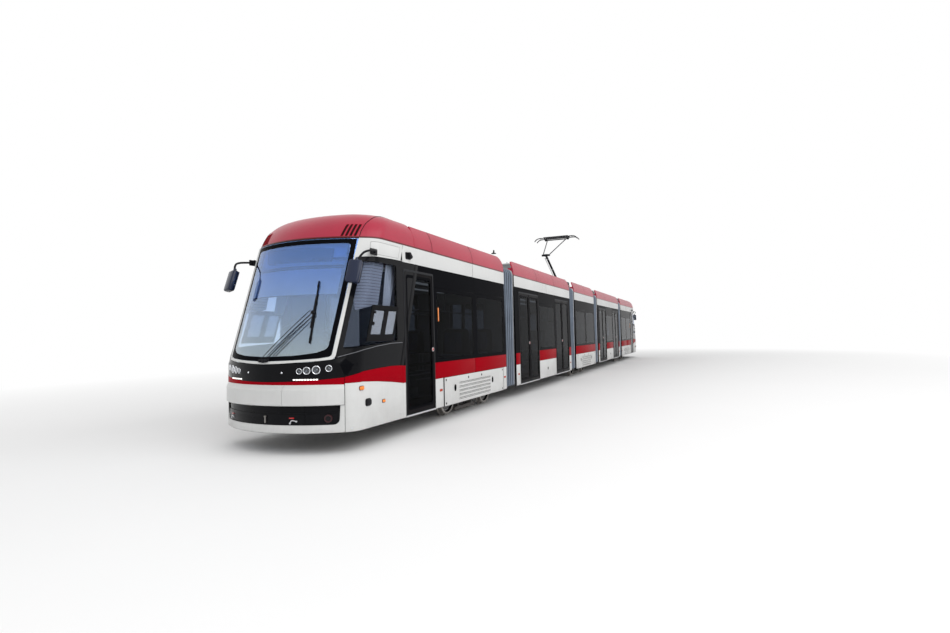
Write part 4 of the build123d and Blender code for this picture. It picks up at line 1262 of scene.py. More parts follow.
def car_sides():
    """Stripes, bands, panels and skirts of all five cars."""
    for car, add, bands, stripes, panels, skirts in (
        ("cab_car", both_ends, CAB_CAR_BAND, CAB_CAR_STRIPE, CAB_CAR_PANELS, CAB_CAR_SKIRTS),
        ("door_car", both_ends, DOOR_CAR_BAND, DOOR_CAR_STRIPE, DOOR_CAR_STRIPE, None),
        ("mid_car", add_piece, MID_CAR_BAND, MID_CAR_STRIPE, MID_CAR_PANELS, MID_CAR_SKIRTS),
    ):
        add(f"{car}_bands", side_plates(bands, BAND_Z, EAVES_Z - 0.002), WHITE_PAINT, car)
        add(f"{car}_stripes", side_plates(stripes, *STRIPE_Z), RED_PAINT, car)
        add(f"{car}_panels", side_plates(panels, *PANEL_Z), WHITE_PAINT, car)
        if skirts:
            add(f"{car}_skirts", skirt_plates(skirts), WHITE_PAINT, car)
            add(f"{car}_louvres", louvre_blades(skirts), WHITE_PAINT, car)
            add(f"{car}_skirt_bolts", skirt_fasteners(skirts), PLASTIC, car)


car_sides()


# Door details

CAB_CAR_DOORS = [(-13.152, -12.230)]
DOOR_CAR_DOORS = [(-7.673, -6.086), (-4.302, -2.715)]
BUTTON_Z = 1.330
BUTTON_RING = [(0, 0), (0.034, 0), (0.034, 0.005), (0.029, 0.008), (0.024, 0.006), (0, 0.006)]
BUTTON_CAP = [(0, 0), (0.022, 0), (0.021, 0.003), (0.012, 0.0045), (0, 0.005)]


def door_leaves(doors):
    """Leaf ranges: one in a narrow doorway, two in a wide one."""
    leaves = []
    for x0, x1 in doors:
        count = 2 if x1 - x0 > 1.2 else 1
        width = (x1 - x0) / count
        leaves += [(x0 + k * width + 0.004, x0 + (k + 1) * width - 0.004) for k in range(count)]
    return leaves


def door_portals(doors):
    """Thin grey frame round each doorway."""
    flat = []
    for x0, x1 in doors:
        ring = rectangle(x0 - 0.030, x1 + 0.030, 0.312, 2.632)
        hole = rectangle(x0 + 0.004, x1 - 0.004, 0.330, 2.596)
        flat.append(plate(ring, 0.02, 0.0, 0.006, 0.002, [hole], 0.015))
    return on_walls(flat, knee=True)


def door_glass_rims(doors):
    """Black enamel round each leaf's glass."""
    flat = []
    for x0, x1 in door_leaves(doors):
        ring = rectangle(x0 + 0.040, x1 - 0.040, 0.395, 2.550)
        hole = rectangle(x0 + 0.078, x1 - 0.078, 0.440, 2.500)
        flat.append(plate(ring, 0.06, 0.002, 0.0035, 0.0005, [hole], 0.045))
    return on_walls(flat, knee=True)


def door_seals(doors):
    """Rubber finger guards along the leaves' closing edges."""
    edges = [x for leaf in door_leaves(doors) for x in leaf]
    flat = [plate(rectangle(x - 0.010, x + 0.010, 0.335, 2.590), 0, -0.004, 0.008, 0.004) for x in edges]
    return on_walls(flat, knee=True)


def door_rails(doors):
    """Inside each leaf, a rail across its glass and a kick plate below."""
    flat = []
    for x0, x1 in door_leaves(doors):
        for low, high, inner in ((1.075, 1.125, -0.036), (0.400, 0.560, -0.034)):
            flat.append(brick(x0 + 0.05, x1 - 0.05, low, high, inner, -0.016, 0.004))
    return on_walls(flat)


def door_buttons(doors, profile, out):
    """A turned part of the push button on one leaf of each doorway."""
    flat = [moved(lathe(profile, 28), x1 - 0.040, BUTTON_Z, out) for _, x1 in door_leaves(doors)[::2]]
    return on_walls(flat)


def door_steps(doors):
    """Sill below each doorway."""
    parts = []
    for x0, x1 in doors:
        parts += twin_bricks(x0 - 0.02, x1 + 0.02, HALF - 0.08, HALF + 0.012, 0.296, 0.322, 0.004)
    return joined(*parts)


def add_door_details(car, doors):
    """The dressed parts of one car's doorways."""
    both_ends(f"{car}_door_portals", door_portals(doors), DOOR_TRIM, car)
    both_ends(f"{car}_door_glass_rims", door_glass_rims(doors), FRIT, car)
    both_ends(f"{car}_door_seals", door_seals(doors), SEAL, car)
    both_ends(f"{car}_door_rails", door_rails(doors), DOOR_BLACK, car)
    both_ends(f"{car}_door_buttons", door_buttons(doors, BUTTON_RING, 0.003), ALUMINIUM, car)
    both_ends(f"{car}_door_button_caps", door_buttons(doors, BUTTON_CAP, 0.009), RED_LENS, car)
    both_ends(f"{car}_door_steps", door_steps(doors), ALUMINIUM, car)


add_door_details("cab_car", CAB_CAR_DOORS)
add_door_details("door_car", DOOR_CAR_DOORS)


# Window rims

CAB_CAR_PANES = [(-12.200, -10.445), (-10.437, -8.760)]
DOOR_CAR_PANES = [(-6.060, -4.330)]
MID_CAR_PANES = [(-1.640, -0.004), (0.004, 1.640)]


def pane_rims(panes):
    """Black enamel round each flush side pane, and the split line of its upper part."""
    flat = []
    for x0, x1 in panes:
        ring = rectangle(x0 + 0.001, x1 - 0.001, PANE_LOW + 0.008, BAND_Z - 0.008)
        hole = rectangle(x0 + 0.105, x1 - 0.105, 1.171, 2.334)
        flat.append(plate(ring, 0.002, 0.0004, 0.0014, 0, [hole], 0.060))
        split = rectangle(x0 + 0.02, x1 - 0.02, PANE_SPLIT - 0.004, PANE_SPLIT + 0.004)
        flat.append(plate(split, 0, 0.0014, 0.004, 0.001))
    return on_walls(flat, knee=True)


both_ends("cab_car_pane_rims", pane_rims(CAB_CAR_PANES), FRIT, "cab_car")
both_ends("door_car_pane_rims", pane_rims(DOOR_CAR_PANES), FRIT, "door_car")
add_piece("mid_car_pane_rims", pane_rims(MID_CAR_PANES), FRIT, "mid_car")


# Lamps

def facing_out(make, along, up, out=0.0):
    """A shape made along Z, set on the nose and facing straight out of it."""
    origin = on_nose(along, up, out)
    return aimed(make, origin, on_nose(along, up, 1.0) - on_nose(along, up, 0.0))


def at_lamps(make, chosen=LAMP_PLACES):
    """A shape made for each lamp's radius, at the chosen lamps of both sides."""
    shapes = []
    for side in (-1, 1):
        shapes += [facing_out(make(radius), side * along, up) for along, up, radius in chosen]
    return joined(*shapes)


def lamp_bowl(r):
    """Polished bowl behind a lens."""
    return lathe([
        (0, -0.030), (r * 0.35, -0.028), (r * 0.75, -0.016), (r * 0.96, -0.001), (r, -0.001), (r, -0.033),
        (0, -0.035),
    ])


def lamp_ring(r):
    """Bright rim round a lens, with a fine step inside."""
    ring = [
        (r * 0.84, 0.0015), (r * 0.87, 0.005), (r * 0.97, 0.0075), (r * 1.05, 0.0055), (r * 1.08, 0.001),
        (r * 0.84, 0.0), (r * 0.84, 0.0015),
    ]
    inner = [(r * 0.56, -0.008), (r * 0.60, -0.004), (r * 0.66, -0.008), (r * 0.60, -0.014), (r * 0.56, -0.008)]
    return joined(lathe(ring), lathe(inner))


def lamp_lens(r):
    """Clear domed lens."""
    return lathe([
        (0, 0.0095), (r * 0.5, 0.0080), (r * 0.86, 0.0030), (r * 0.86, 0.0015), (r * 0.5, 0.0062), (0, 0.0075),
    ])


def lamp_projector(r):
    """Round glass eye in the middle of a lamp."""
    return lathe([(0, -0.004), (r * 0.22, -0.007), (r * 0.36, -0.014), (r * 0.38, -0.027), (0, -0.028)])


def led_bar():
    """Nine small lit squares in a row below the lamps, on both sides."""
    count = 9
    pitch = (LED_ALONG[1] - LED_ALONG[0]) / count
    flat = []
    for side in (-1, 1):
        for k in range(count):
            centre = side * (LED_ALONG[0] + (k + 0.5) * pitch)
            square = rectangle(centre - 0.015, centre + 0.015, LED_UP[0] - 0.001, LED_UP[1] + 0.001)
            flat.append(plate(square, 0.003, -0.004, 0.005, 0.0015))
    return wrapped(joined(*flat), on_nose)


def led_tray():
    """Dark tray behind the lit squares."""
    flat = []
    for side in (-1, 1):
        a0, a1 = sorted((side * (LED_ALONG[0] - 0.004), side * (LED_ALONG[1] + 0.004)))
        flat.append(plate(rectangle(a0, a1, LED_UP[0] - 0.004, LED_UP[1] + 0.004), 0.003, -0.008, 0.0036, 0.0006))
    return wrapped(sliced(joined(*flat), 0.06), on_nose)


def mask_sensors():
    """Two small domed sensors on the mask."""
    dome = [(0, 0.014), (0.006, 0.012), (0.010, 0.006), (0.011, 0.003), (0.014, 0.0025), (0.014, 0.0), (0, 0)]
    return joined(*[facing_out(lathe(dome, 20), a, 1.107, 0.002) for a in (-0.30, 0.30)])


both_ends("lamp_bowls", at_lamps(lamp_bowl), REFLECTOR, "cab_car", replaces=["cab_lamps"])
both_ends("lamp_rings", at_lamps(lamp_ring), CHROME, "cab_car")
both_ends("lamp_lenses", at_lamps(lamp_lens), LENS, "cab_car")
both_ends("lamp_projectors", at_lamps(lamp_projector), PROJECTOR, "cab_car")
both_ends("led_bars", led_bar(), LED_WHITE, "cab_car")
both_ends("led_trays", led_tray(), PLASTIC, "cab_car")
both_ends("mask_sensors", mask_sensors(), CHROME, "cab_car")


# Side lamps, ports and the camera by the door, as x and z

TURN_LAMP = (-14.338, 0.870)
LOW_LAMP = (-13.807, 0.633)
SIDE_SOCKET = (-14.190, 0.661)


def side_lamp(side, x, z, width, height, reach, edge):
    """A domed lens on the cab's side panel."""
    along = end_along(z, x)
    outline = rectangle(along - width / 2, along + width / 2, z - height / 2, z + height / 2)
    return wrapped(plate(outline, min(width, height) * 0.3, SKIN, SKIN + reach, edge), on_nose_side(side))


def amber_lamps(side):
    """Turn lamp and low marker lamp."""
    turn_lamp = side_lamp(side, *TURN_LAMP, 0.085, 0.050, 0.020, 0.009)
    marker = side_lamp(side, *LOW_LAMP, 0.070, 0.040, 0.016, 0.007)
    return joined(turn_lamp, marker)


def amber_bases(side):
    """Dark bases under the two amber lamps."""
    turn_base = side_lamp(side, *TURN_LAMP, 0.097, 0.062, 0.005, 0.002)
    marker_base = side_lamp(side, *LOW_LAMP, 0.082, 0.052, 0.005, 0.002)
    return joined(turn_base, marker_base)


def side_pod(side):
    """Dark rounded socket cover low on the cab's side."""
    cover = side_lamp(side, *SIDE_SOCKET, 0.115, 0.087, 0.030, 0.020)
    rim = side_lamp(side, *SIDE_SOCKET, 0.135, 0.105, 0.006, 0.003)
    return joined(cover, rim)


def side_bolts(side):
    """Plain bolt heads along the lower panel's rear edge."""
    places = [(-13.35, 0.380), (-13.35, 0.760), (-14.50, 0.350)]
    flat = [moved(bolt(0.009, 0.005), end_along(z, x), z, SKIN) for x, z in places]
    return wrapped(joined(*flat), on_nose_side(side))


def camera_pods():
    """Small black camera housings on the band, just before the door."""
    base = plate(rectangle(-13.105, -12.950, 2.792, 2.905), 0.020, SKIN, 0.014, 0.004)
    outline = [(-13.095, 2.898), (-13.030, 2.905), (-12.960, 2.835), (-13.010, 2.795)]
    return on_walls([base, plate(outline, 0.016, 0.014, 0.066, 0.014)])


def amber_strips():
    """Upright amber door lights beside the front door."""
    return on_walls([plate(rectangle(-12.052, -12.020, 1.816, 2.057), 0.008, 0.001, 0.007, 0.003)])


def ports():
    """Dark round flaps in the door cars' white panels."""
    rim = [(0, 0), (0.042, 0), (0.042, 0.004), (0.036, 0.007), (0.030, 0.004), (0, 0.004)]
    return on_walls([moved(lathe(rim, 28), *PORT_AT, 0.003)])


CAB_CAR_MARKERS = [(-11.998, 0.603), (-8.820, 0.585)]
DOOR_CAR_MARKERS = [(-7.834, 0.575), (-2.560, 0.575)]
PORT_AT = (-5.264, 0.558)


def side_markers(places):
    """Small oblong marker lenses on the lower panels."""
    outlines = [rectangle(x - 0.050, x + 0.050, z - 0.021, z + 0.021) for x, z in places]
    return on_walls([plate(outline, 0.010, 0.003, 0.012, 0.004) for outline in outlines])


both_ends("cab_car_side_markers", side_markers(CAB_CAR_MARKERS), MARKER_RED, "cab_car")
both_ends("door_car_side_markers", side_markers(DOOR_CAR_MARKERS), MARKER_RED, "door_car")
both_ends("amber_lamps", both_sides(amber_lamps), AMBER, "cab_car")
both_ends("amber_lamp_bases", both_sides(amber_bases), PLASTIC, "cab_car")
both_ends("side_pods", both_sides(side_pod), PLASTIC, "cab_car")
both_ends("side_bolts", both_sides(side_bolts), ALUMINIUM, "cab_car")
both_ends("camera_pods", camera_pods(), PLASTIC, "cab_car")
both_ends("amber_strips", amber_strips(), AMBER, "cab_car")
both_ends("panel_ports", ports(), PLASTIC, "door_car")


# Tow cover, as places along and up the nose

SOCKET_AT = (0.930, 0.492)


def tow_panels():
    """Black cover in two tiers, with upright joints."""
    flat = []
    for a0, a1 in ((-1.062, -0.745), (-0.741, 0.618), (0.622, 1.062)):
        flat.append(plate(rectangle(a0, a1, 0.412, 0.560), 0.006, -0.020, -0.010, 0.003))
        flat.append(plate(rectangle(a0, a1, 0.566, 0.658), 0.006, -0.020, -0.014, 0.003))
    return wrapped(sliced(joined(*flat), 0.06), on_nose)


def tow_hooks():
    """Bent steel tie hooks low on the cover."""
    hooks = []
    for along in (-0.80, 0.46):
        points = [(along - 0.045, 0.436), (along - 0.030, 0.470), (along, 0.478), (along + 0.045, 0.462)]
        hooks.append(pipe([on_nose(a, up, 0.004) for a, up in points], 0.008))
        for a, up in (points[0], points[-1]):
            hooks.append(facing_out(lathe([(0, -0.012), (0.012, -0.012), (0.012, 0.004), (0, 0.006)], 16), a, up))
    return joined(*hooks)


def tow_tabs():
    """Red release tabs above the hooks."""
    flat = [plate(rectangle(a - 0.04, a + 0.03, 0.498, 0.512), 0.004, -0.012, 0.002, 0.003) for a in (-0.80, 0.44)]
    return wrapped(joined(*flat), on_nose)


def tow_pin():
    """Drawbar pin with its knob in the middle of the cover."""
    pin = lathe([(0, 0), (0.012, 0), (0.012, 0.075), (0.018, 0.080), (0.018, 0.094), (0.008, 0.102), (0, 0.103)], 20)
    return moved(pin, *on_nose(0.030, 0.435, 0.004))


def socket_ring():
    """Round socket at the cover's end."""
    ring = [
        (0.036, -0.006), (0.040, 0.002), (0.050, 0.003), (0.054, -0.004), (0.054, -0.012), (0.036, -0.012),
        (0.036, -0.006),
    ]
    return facing_out(lathe(ring, 32), *SOCKET_AT)


def socket_core():
    """Dark face inside the socket."""
    return facing_out(lathe([(0, -0.008), (0.036, -0.008), (0.036, -0.013), (0, -0.014)], 32), *SOCKET_AT)


both_ends("tow_panels", tow_panels(), BLACK_GLOSS, "cab_car")
both_ends("tow_hooks", tow_hooks(), ALUMINIUM, "cab_car")
both_ends("tow_tabs", tow_tabs(), RED_LENS, "cab_car")
both_ends("tow_pin", tow_pin(), AXLE_STEEL, "cab_car")
both_ends("socket_ring", socket_ring(), SOCKET_RED, "cab_car")
both_ends("socket_core", socket_core(), PLASTIC, "cab_car")


# Mirrors and wiper

MIRROR_ARM = [
    (-13.975, 1.140, 2.795), (-13.985, 1.232, 2.802), (-14.215, 1.236, 2.776), (-14.330, 1.190, 2.715),
    (-14.372, 1.143, 2.590),
]
MIRROR_AT = (-14.425, 1.143, 2.461)
MIRROR_TILT = radians(20)
MIRROR_YAW = radians(18)


def mirror_arms():
    """Bent arms with their round bases and flanges on the cab's sides."""
    arms = []
    for side in (-1, 1):
        arms.append(pipe([(x, side * y, z) for x, y, z in MIRROR_ARM], 0.016, 16))
        base = lathe([(0, -0.02), (0.045, -0.02), (0.042, 0.006), (0.024, 0.016), (0.022, 0.040), (0, 0.040)], 28)
        arms.append(aimed(base, (-13.975, side * half_width(2.795), 2.795), (0, side, 0)))
        flange = brick(-14.06, -13.89, -0.006, 0.012, 2.745, 2.835, 0.005)
        arms.append(moved(flange, y=side * (half_width(2.79) + 0.004)))
    return joined(*arms)


def tilted_head(bm, side):
    """Turns a shape made round the origin to the driver, tilts it along the pillar and sets it in place."""
    spun(bm, side * -MIRROR_YAW, "Z")
    spun(bm, MIRROR_TILT, "Y")
    x, y, z = MIRROR_AT
    return moved(bm, x, side * y, z)


def mirror_heads():
    """Two rounded mirror housings that narrow at both ends."""
    heads = []
    for side in (-1, 1):
        bm = brick(-0.056, 0.030, -0.108, 0.108, -0.168, 0.168, 0.028, 5)
        for v in bm.verts:
            bow = 1 - 0.20 * (v.co.z / 0.165) ** 4
            v.co.y *= bow
            v.co.x = v.co.x * (1 - 0.22 * (v.co.y / 0.108) ** 2) if v.co.x < 0 else v.co.x
        heads.append(tilted_head(bm, side))
        hole = rectangle(-0.084, 0.084, -0.148, 0.148)
        ring = plate(rectangle(-0.096, 0.096, -0.160, 0.160), 0.030, 0.0, 0.014, 0.003, [hole], 0.024)
        heads.append(tilted_head(stood_up(ring, 0.028), side))
        clamp = lathe([(0, -0.03), (0.024, -0.03), (0.026, 0.02), (0.020, 0.045), (0, 0.045)], 24)
        heads.append(tilted_head(moved(clamp, 0.0, 0.0, 0.165), side))
    return joined(*heads)


def stood_up(bm, x):
    """Turns a flat (across, up, out) plate to face +X at one x."""
    return wrapped(bm, lambda across, up, out: Vector((x + out, across, up)))


def mirror_glasses():
    """A tall glass over a low one in each housing."""
    panes = []
    for side in (-1, 1):
        upper = plate(rectangle(-0.084, 0.084, -0.060, 0.148), 0.020, 0.0, 0.006, 0.001)
        lower = plate(rectangle(-0.084, 0.084, -0.148, -0.066), 0.020, 0.0, 0.006, 0.001)
        panes.append(tilted_head(stood_up(joined(upper, lower), 0.030), side))
    return joined(*panes)


both_ends("mirror_arms", mirror_arms(), PLASTIC, "cab_car", replaces=["mirrors"])
both_ends("mirror_heads", mirror_heads(), MIRROR_SHELL, "cab_car")
both_ends("mirror_glasses", mirror_glasses(), MIRROR_GLASS, "cab_car")

WIPER_HUBS = [(-0.052, 1.268), (0.002, 1.262), (0.052, 1.268)]
WIPER_JOINT = (0.588, 1.921)
WIPER_BLADE = [(0.629, 1.496), (0.573, 2.363)]


def straight_on_glass(start, end, low, high, half, steps=10):
    """A slim bar that follows the glass between two (along, up) places."""
    length = hypot(end[0] - start[0], end[1] - start[1])
    angle = atan2(end[1] - start[1], end[0] - start[0])
    bm = plate(rectangle(0, length, -half, half), half * 0.6, low, high, 0.002)
    sliced(bm, length / steps)
    for v in bm.verts:
        x, y = v.co.x, v.co.y
        v.co.x = start[0] + x * cos(angle) - y * sin(angle)
        v.co.y = start[1] + x * sin(angle) + y * cos(angle)
    return bm


def wiper_arms():
    """Three parallel arms from the hubs to the joint, and the blade's carrier."""
    flat = []
    for k, hub in enumerate(WIPER_HUBS):
        end = (WIPER_JOINT[0] + (-0.036, 0.0, 0.036)[k], WIPER_JOINT[1] + (0.030, 0.0, -0.030)[k])
        flat.append(straight_on_glass(hub, end, 0.040, 0.048, 0.005))
    flat.append(straight_on_glass((0.600, 1.700), (0.585, 2.160), 0.026, 0.034, 0.009))
    bars = wrapped(joined(*flat), on_nose)
    hub_cap = [(0, 0.058), (0.016, 0.056), (0.022, 0.046), (0.022, 0.0), (0.034, -0.002), (0, -0.004)]
    caps = [facing_out(lathe(hub_cap, 24), *hub) for hub in WIPER_HUBS]
    knuckle = [(0, 0.062), (0.020, 0.060), (0.026, 0.052), (0.026, 0.022), (0, 0.020)]
    return joined(bars, *caps, facing_out(lathe(knuckle, 24), *WIPER_JOINT))


def wiper_blade():
    """Rubber blade with its spine and claws."""
    spine = straight_on_glass(*WIPER_BLADE, 0.014, 0.024, 0.010, 16)
    lip = straight_on_glass(*WIPER_BLADE, 0.002, 0.015, 0.003, 16)
    claws = []
    for share in (0.08, 0.36, 0.64, 0.92):
        a = WIPER_BLADE[0][0] + share * (WIPER_BLADE[1][0] - WIPER_BLADE[0][0])
        up = WIPER_BLADE[0][1] + share * (WIPER_BLADE[1][1] - WIPER_BLADE[0][1])
        claws.append(straight_on_glass((a, up - 0.02), (a, up + 0.02), 0.012, 0.030, 0.013, 1))
    return wrapped(joined(spine, lip, *claws), on_nose)


both_ends("wiper_arms", wiper_arms(), PLASTIC, "cab_car", replaces=["wiper"])
both_ends("wiper_blade", wiper_blade(), SEAL, "cab_car")


# Bellows between the cars

BELLOWS_HALF = 1.128
BELLOWS_TOP = 3.158
BELLOWS_DEPTH = 0.065
BELLOWS_FOOT = 0.335
BELLOWS_CORNER = 0.13
FOLDS = 5


def on_arch(half, top):
    """Sets (along, x, out) on an arch over the gangway, with along 0 at the middle of its top."""
    flat_run = half - BELLOWS_CORNER
    arc_run = BELLOWS_CORNER * pi / 2

    def place(along, x, out):
        side = 1 if along > 0 else -1
        run = abs(along)
        if run < flat_run:
            return Vector((x, along, top + out))
        if run < flat_run + arc_run:
            angle = (run - flat_run) / BELLOWS_CORNER
            reach = BELLOWS_CORNER + out
            return Vector((x, side * (flat_run + reach * sin(angle)), top - BELLOWS_CORNER + reach * cos(angle)))
        return Vector((x, side * (half + out), top - BELLOWS_CORNER - (run - flat_run - arc_run)))
    return place


def arch_run(half, top):
    """Length of the arch from the middle of its top to its foot."""
    return half - BELLOWS_CORNER + BELLOWS_CORNER * pi / 2 + top - BELLOWS_CORNER - BELLOWS_FOOT


def pleated_arch(x0, x1, half, top, depth):
    """Folded fabric with rounded crests, and a wall of its own thickness."""
    bm = bmesh.new()
    bmesh.ops.create_grid(bm, x_segments=72, y_segments=FOLDS * 12, size=0.5)
    run = arch_run(half, top)
    # The crest height, kept as the fold attribute, drives the painted shade and the painted highlight of the cloth.
    crest = bm.verts.layers.float.new("fold")
    for v in bm.verts:
        fold = abs(sin(pi * FOLDS * (v.co.y + 0.5)))
        v[crest] = fold
        v.co = (v.co.x * 2 * run, x0 + (v.co.y + 0.5) * (x1 - x0), depth * (fold ** 0.9 - 1))
    wrapped(bm, on_arch(half, top))
    bmesh.ops.solidify(bm, geom=bm.faces[:], thickness=0.004)
    return bm


def arch_frame(x0, x1, half, top, thick=0.035):
    """Clamping frame that holds one end of the bellows."""
    run = arch_run(half, top)
    bm = plate(rectangle(-run, run, x0, x1), 0, -thick, 0.004, 0.003)
    return wrapped(sliced(bm, 0.05), on_arch(half, top))


def add_bellows(name, x0, x1, near, far):
    """One bellows between two cars, and the frame at each of its ends, which rides on its car."""
    size = (BELLOWS_HALF, BELLOWS_TOP)
    folds = pleated_arch(x0 + 0.026, x1 - 0.026, *size, BELLOWS_DEPTH)
    fabric = add_piece(f"{name}_folds", folds, BELLOWS_FABRIC, smooth=60)
    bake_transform(fabric)
    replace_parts(fabric, name)
    add_piece(f"{name}_near_frame", arch_frame(x0 + 0.002, x0 + 0.030, *size), ALUMINIUM, near)
    add_piece(f"{name}_far_frame", arch_frame(x1 - 0.030, x1 - 0.002, *size), ALUMINIUM, far)


add_bellows("front_outer_bellows", CAB_END, DOOR_X0, "front_cab_car", "front_door_car")
add_bellows("front_inner_bellows", DOOR_X1, -MID_X, "front_door_car", "mid_car")
add_bellows("rear_inner_bellows", MID_X, -DOOR_X1, "mid_car", "rear_door_car")
add_bellows("rear_outer_bellows", -DOOR_X0, -CAB_END, "rear_door_car", "rear_cab_car")


# Wheels

AXLE_Z = 0.323
VANES = 18
WHEEL_PARTS = {
    # closed profiles as (radius, y from the centre line)
    "tyre": [
        (0.252, 0.6855), (0.309, 0.6855), (0.3225, 0.6915), (0.3230, 0.6985), (0.3225, 0.7055), (0.312, 0.7125),
        (0.2995, 0.7175), (0.2965, 0.7400), (0.2950, 0.7975), (0.2930, 0.8025), (0.2890, 0.8035), (0.252, 0.8035),
        (0.252, 0.6855),
    ],
    "rim": [
        (0.252, 0.694), (0.252, 0.796), (0.243, 0.800), (0.234, 0.790), (0.230, 0.765), (0.226, 0.720),
        (0.240, 0.696), (0.252, 0.694),
    ],
    "disc": [
        (0.0, 0.712), (0.228, 0.722), (0.231, 0.760), (0.205, 0.757), (0.150, 0.750), (0.118, 0.753),
        (0.110, 0.780), (0.0, 0.780),
    ],
    "hub": [
        (0.0, 0.775), (0.094, 0.775), (0.094, 0.792), (0.086, 0.797), (0.050, 0.797), (0.046, 0.803),
        (0.0, 0.803),
    ],
}


def wheel_pair(right):
    """A right-hand wheel shape made along Z, on both ends of its axle."""
    spun(right, -pi / 2, "X")
    left = mirrored_y(right.copy())
    return joined(right, left)


def wheel_bolts():
    """Bolts round the hub and the rubber-sprung rim."""
    shapes = []
    for count, reach, height, size in ((8, 0.072, 0.797, 0.009), (16, 0.214, 0.758, 0.008)):
        for k in range(count):
            angle = 2 * pi * k / count
            shapes.append(moved(bolt(size, 0.008), reach * cos(angle), reach * sin(angle), height))
    return joined(*shapes)


def axle_and_brake():
    """Turned axle with a vented brake disc."""
    shaft = [
        (0, -0.716), (0.075, -0.716), (0.075, -0.66), (0.060, -0.64), (0.060, 0.64), (0.075, 0.66), (0.075, 0.716),
        (0, 0.716),
    ]
    discs = [collar(0.058, 0.185, y - 0.006, y + 0.006) for y in (-0.262, -0.238)]
    vanes = []
    for k in range(VANES):
        vane = brick(0.09, 0.182, -0.004, 0.004, -0.257, -0.243, 0.001, 1)
        vanes.append(spun(vane, 2 * pi * k / VANES))
    return spun(joined(lathe(shaft), *discs, *vanes), -pi / 2, "X")


def add_wheelset(place, letter):
    """The wheels and the axle of one wheelset."""
    node = f"{place}_bogie_wheelset_{letter}"
    body = f"{place}_wheelset_{letter}"
    low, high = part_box(node)
    x = (low.x + high.x) / 2
    made = [
        ("tyres", wheel_pair(lathe(WHEEL_PARTS["tyre"], 64)), TYRE_STEEL),
        ("rims", wheel_pair(lathe(WHEEL_PARTS["rim"], 48)), SEAL),
        ("discs", wheel_pair(joined(lathe(WHEEL_PARTS["disc"], 48), lathe(WHEEL_PARTS["hub"], 32))), WHEEL_PAINT),
        ("bolts", wheel_pair(wheel_bolts()), ALUMINIUM),
        ("axle", axle_and_brake(), AXLE_STEEL),
    ]
    for label, bm, used in made:
        piece = add_piece(f"{body}_{label}", moved(bm, x, 0, AXLE_Z), used, body, 30)
        if label == "tyres":
            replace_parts(piece, node)


for place in ("front", "mid", "rear"):
    for letter in ("a", "b"):
        add_wheelset(place, letter)


# Roof skins

def skin_of(node):
    """A merged copy of a CAD node's surface."""
    bm = bmesh.new()
    bm.from_mesh(nodes[node].data)
    bmesh.ops.remove_doubles(bm, verts=bm.verts, dist=1e-5)
    return bm


def surface_of(node):
    """A CAD node's surface, to find the nearest places on it."""
    skin = skin_of(node)
    tree = BVHTree.FromBMesh(skin)
    skin.free()
    return tree


def skin_ribbon(node, point, normal, width=0.012, lift=0.0014):
    """A hairline joint across the roof's red skin, cut out of a copy of its surface."""
    bm = skin_of(node)
    normal = Vector(normal).normalized()
    point = Vector(point)
    for centre, keep in ((point, -normal), (point + width * normal, normal)):
        cut(bm, centre, keep, 1e-7, True)
    inner = []
    for face in bm.faces:
        centre = face.calc_center_median()
        outward = face.normal.y * centre.y + face.normal.z * max(centre.z - 2.9, 0)
        if centre.z < EAVES_Z or outward <= 0.02 or hypot(centre.y, 2 * (centre.z - EAVES_Z)) < 0.9:
            inner.append(face)
    bmesh.ops.delete(bm, geom=inner, context="FACES")
    for v in bm.verts:
        v.co += v.normal * lift
    return bm


DOME_JOINT = [
    (-13.995, 0.925, 3.012), (-13.970, 0.935, 3.111), (-13.877, 0.944, 3.230), (-13.765, 0.950, 3.312),
    (-13.600, 0.930, 3.385), (-13.350, 0.880, 3.440), (-13.000, 0.860, 3.455), (-12.205, 0.850, 3.455),
]
CAB_FAIRING_JOINTS = (-12.20, -10.482)
DOOR_FAIRING_JOINTS = (-6.111, -4.366)
MID_FAIRING_JOINTS = (-0.002,)


def skin_line(node, points, radius=0.0055, steps=6):
    """A hairline joint along points laid on a CAD node's surface, on both sides."""
    tree = surface_of(node)
    lines = []
    for side in (-1, 1):
        path = []
        for start, end in zip(points, points[1:]):
            for k in range(steps):
                x, y, z = Vector(start).lerp(Vector(end), k / steps)
                path.append(tree.find_nearest(Vector((x, side * y, z)))[0])
        lines.append(pipe(path, radius, 8))
    return joined(*lines)


cab_joints = [skin_ribbon("front_cab_car_roof", (x, 0, 0), (1, 0, 0)) for x in CAB_FAIRING_JOINTS]
door_joints = [skin_ribbon("front_door_car_roof", (x, 0, 0), (1, 0, 0)) for x in DOOR_FAIRING_JOINTS]
mid_joints = [skin_ribbon("mid_car_roof", (x, 0, 0), (1, 0, 0)) for x in MID_FAIRING_JOINTS]
both_ends("cab_roof_joints", joined(skin_line("front_cab_car_roof", DOME_JOINT), *cab_joints), SEAL, "cab_car")
both_ends("door_car_roof_joints", joined(*door_joints), SEAL, "door_car")
add_piece("mid_car_roof_joints", joined(*mid_joints), SEAL, "mid_car")


# Slots in the dome: foot and head of the first and the last one
SLOT_FEET = ((-14.132, 0.713, 3.040), (-14.045, 0.881, 3.040))
SLOT_HEADS = ((-14.002, 0.730, 3.224), (-13.915, 0.893, 3.223))
SLOTS = 4


def on_skin(tree, origin, along_axis, up_axis):
    """Sets (along, up, out) on a surface, starting from a flat frame near it."""
    origin, along_axis, up_axis = Vector(origin), Vector(along_axis).normalized(), Vector(up_axis).normalized()

    def place(along, up, out):
        found, normal, _, _ = tree.find_nearest(origin + along * along_axis + up * up_axis)
        return found + normal * out
    return place


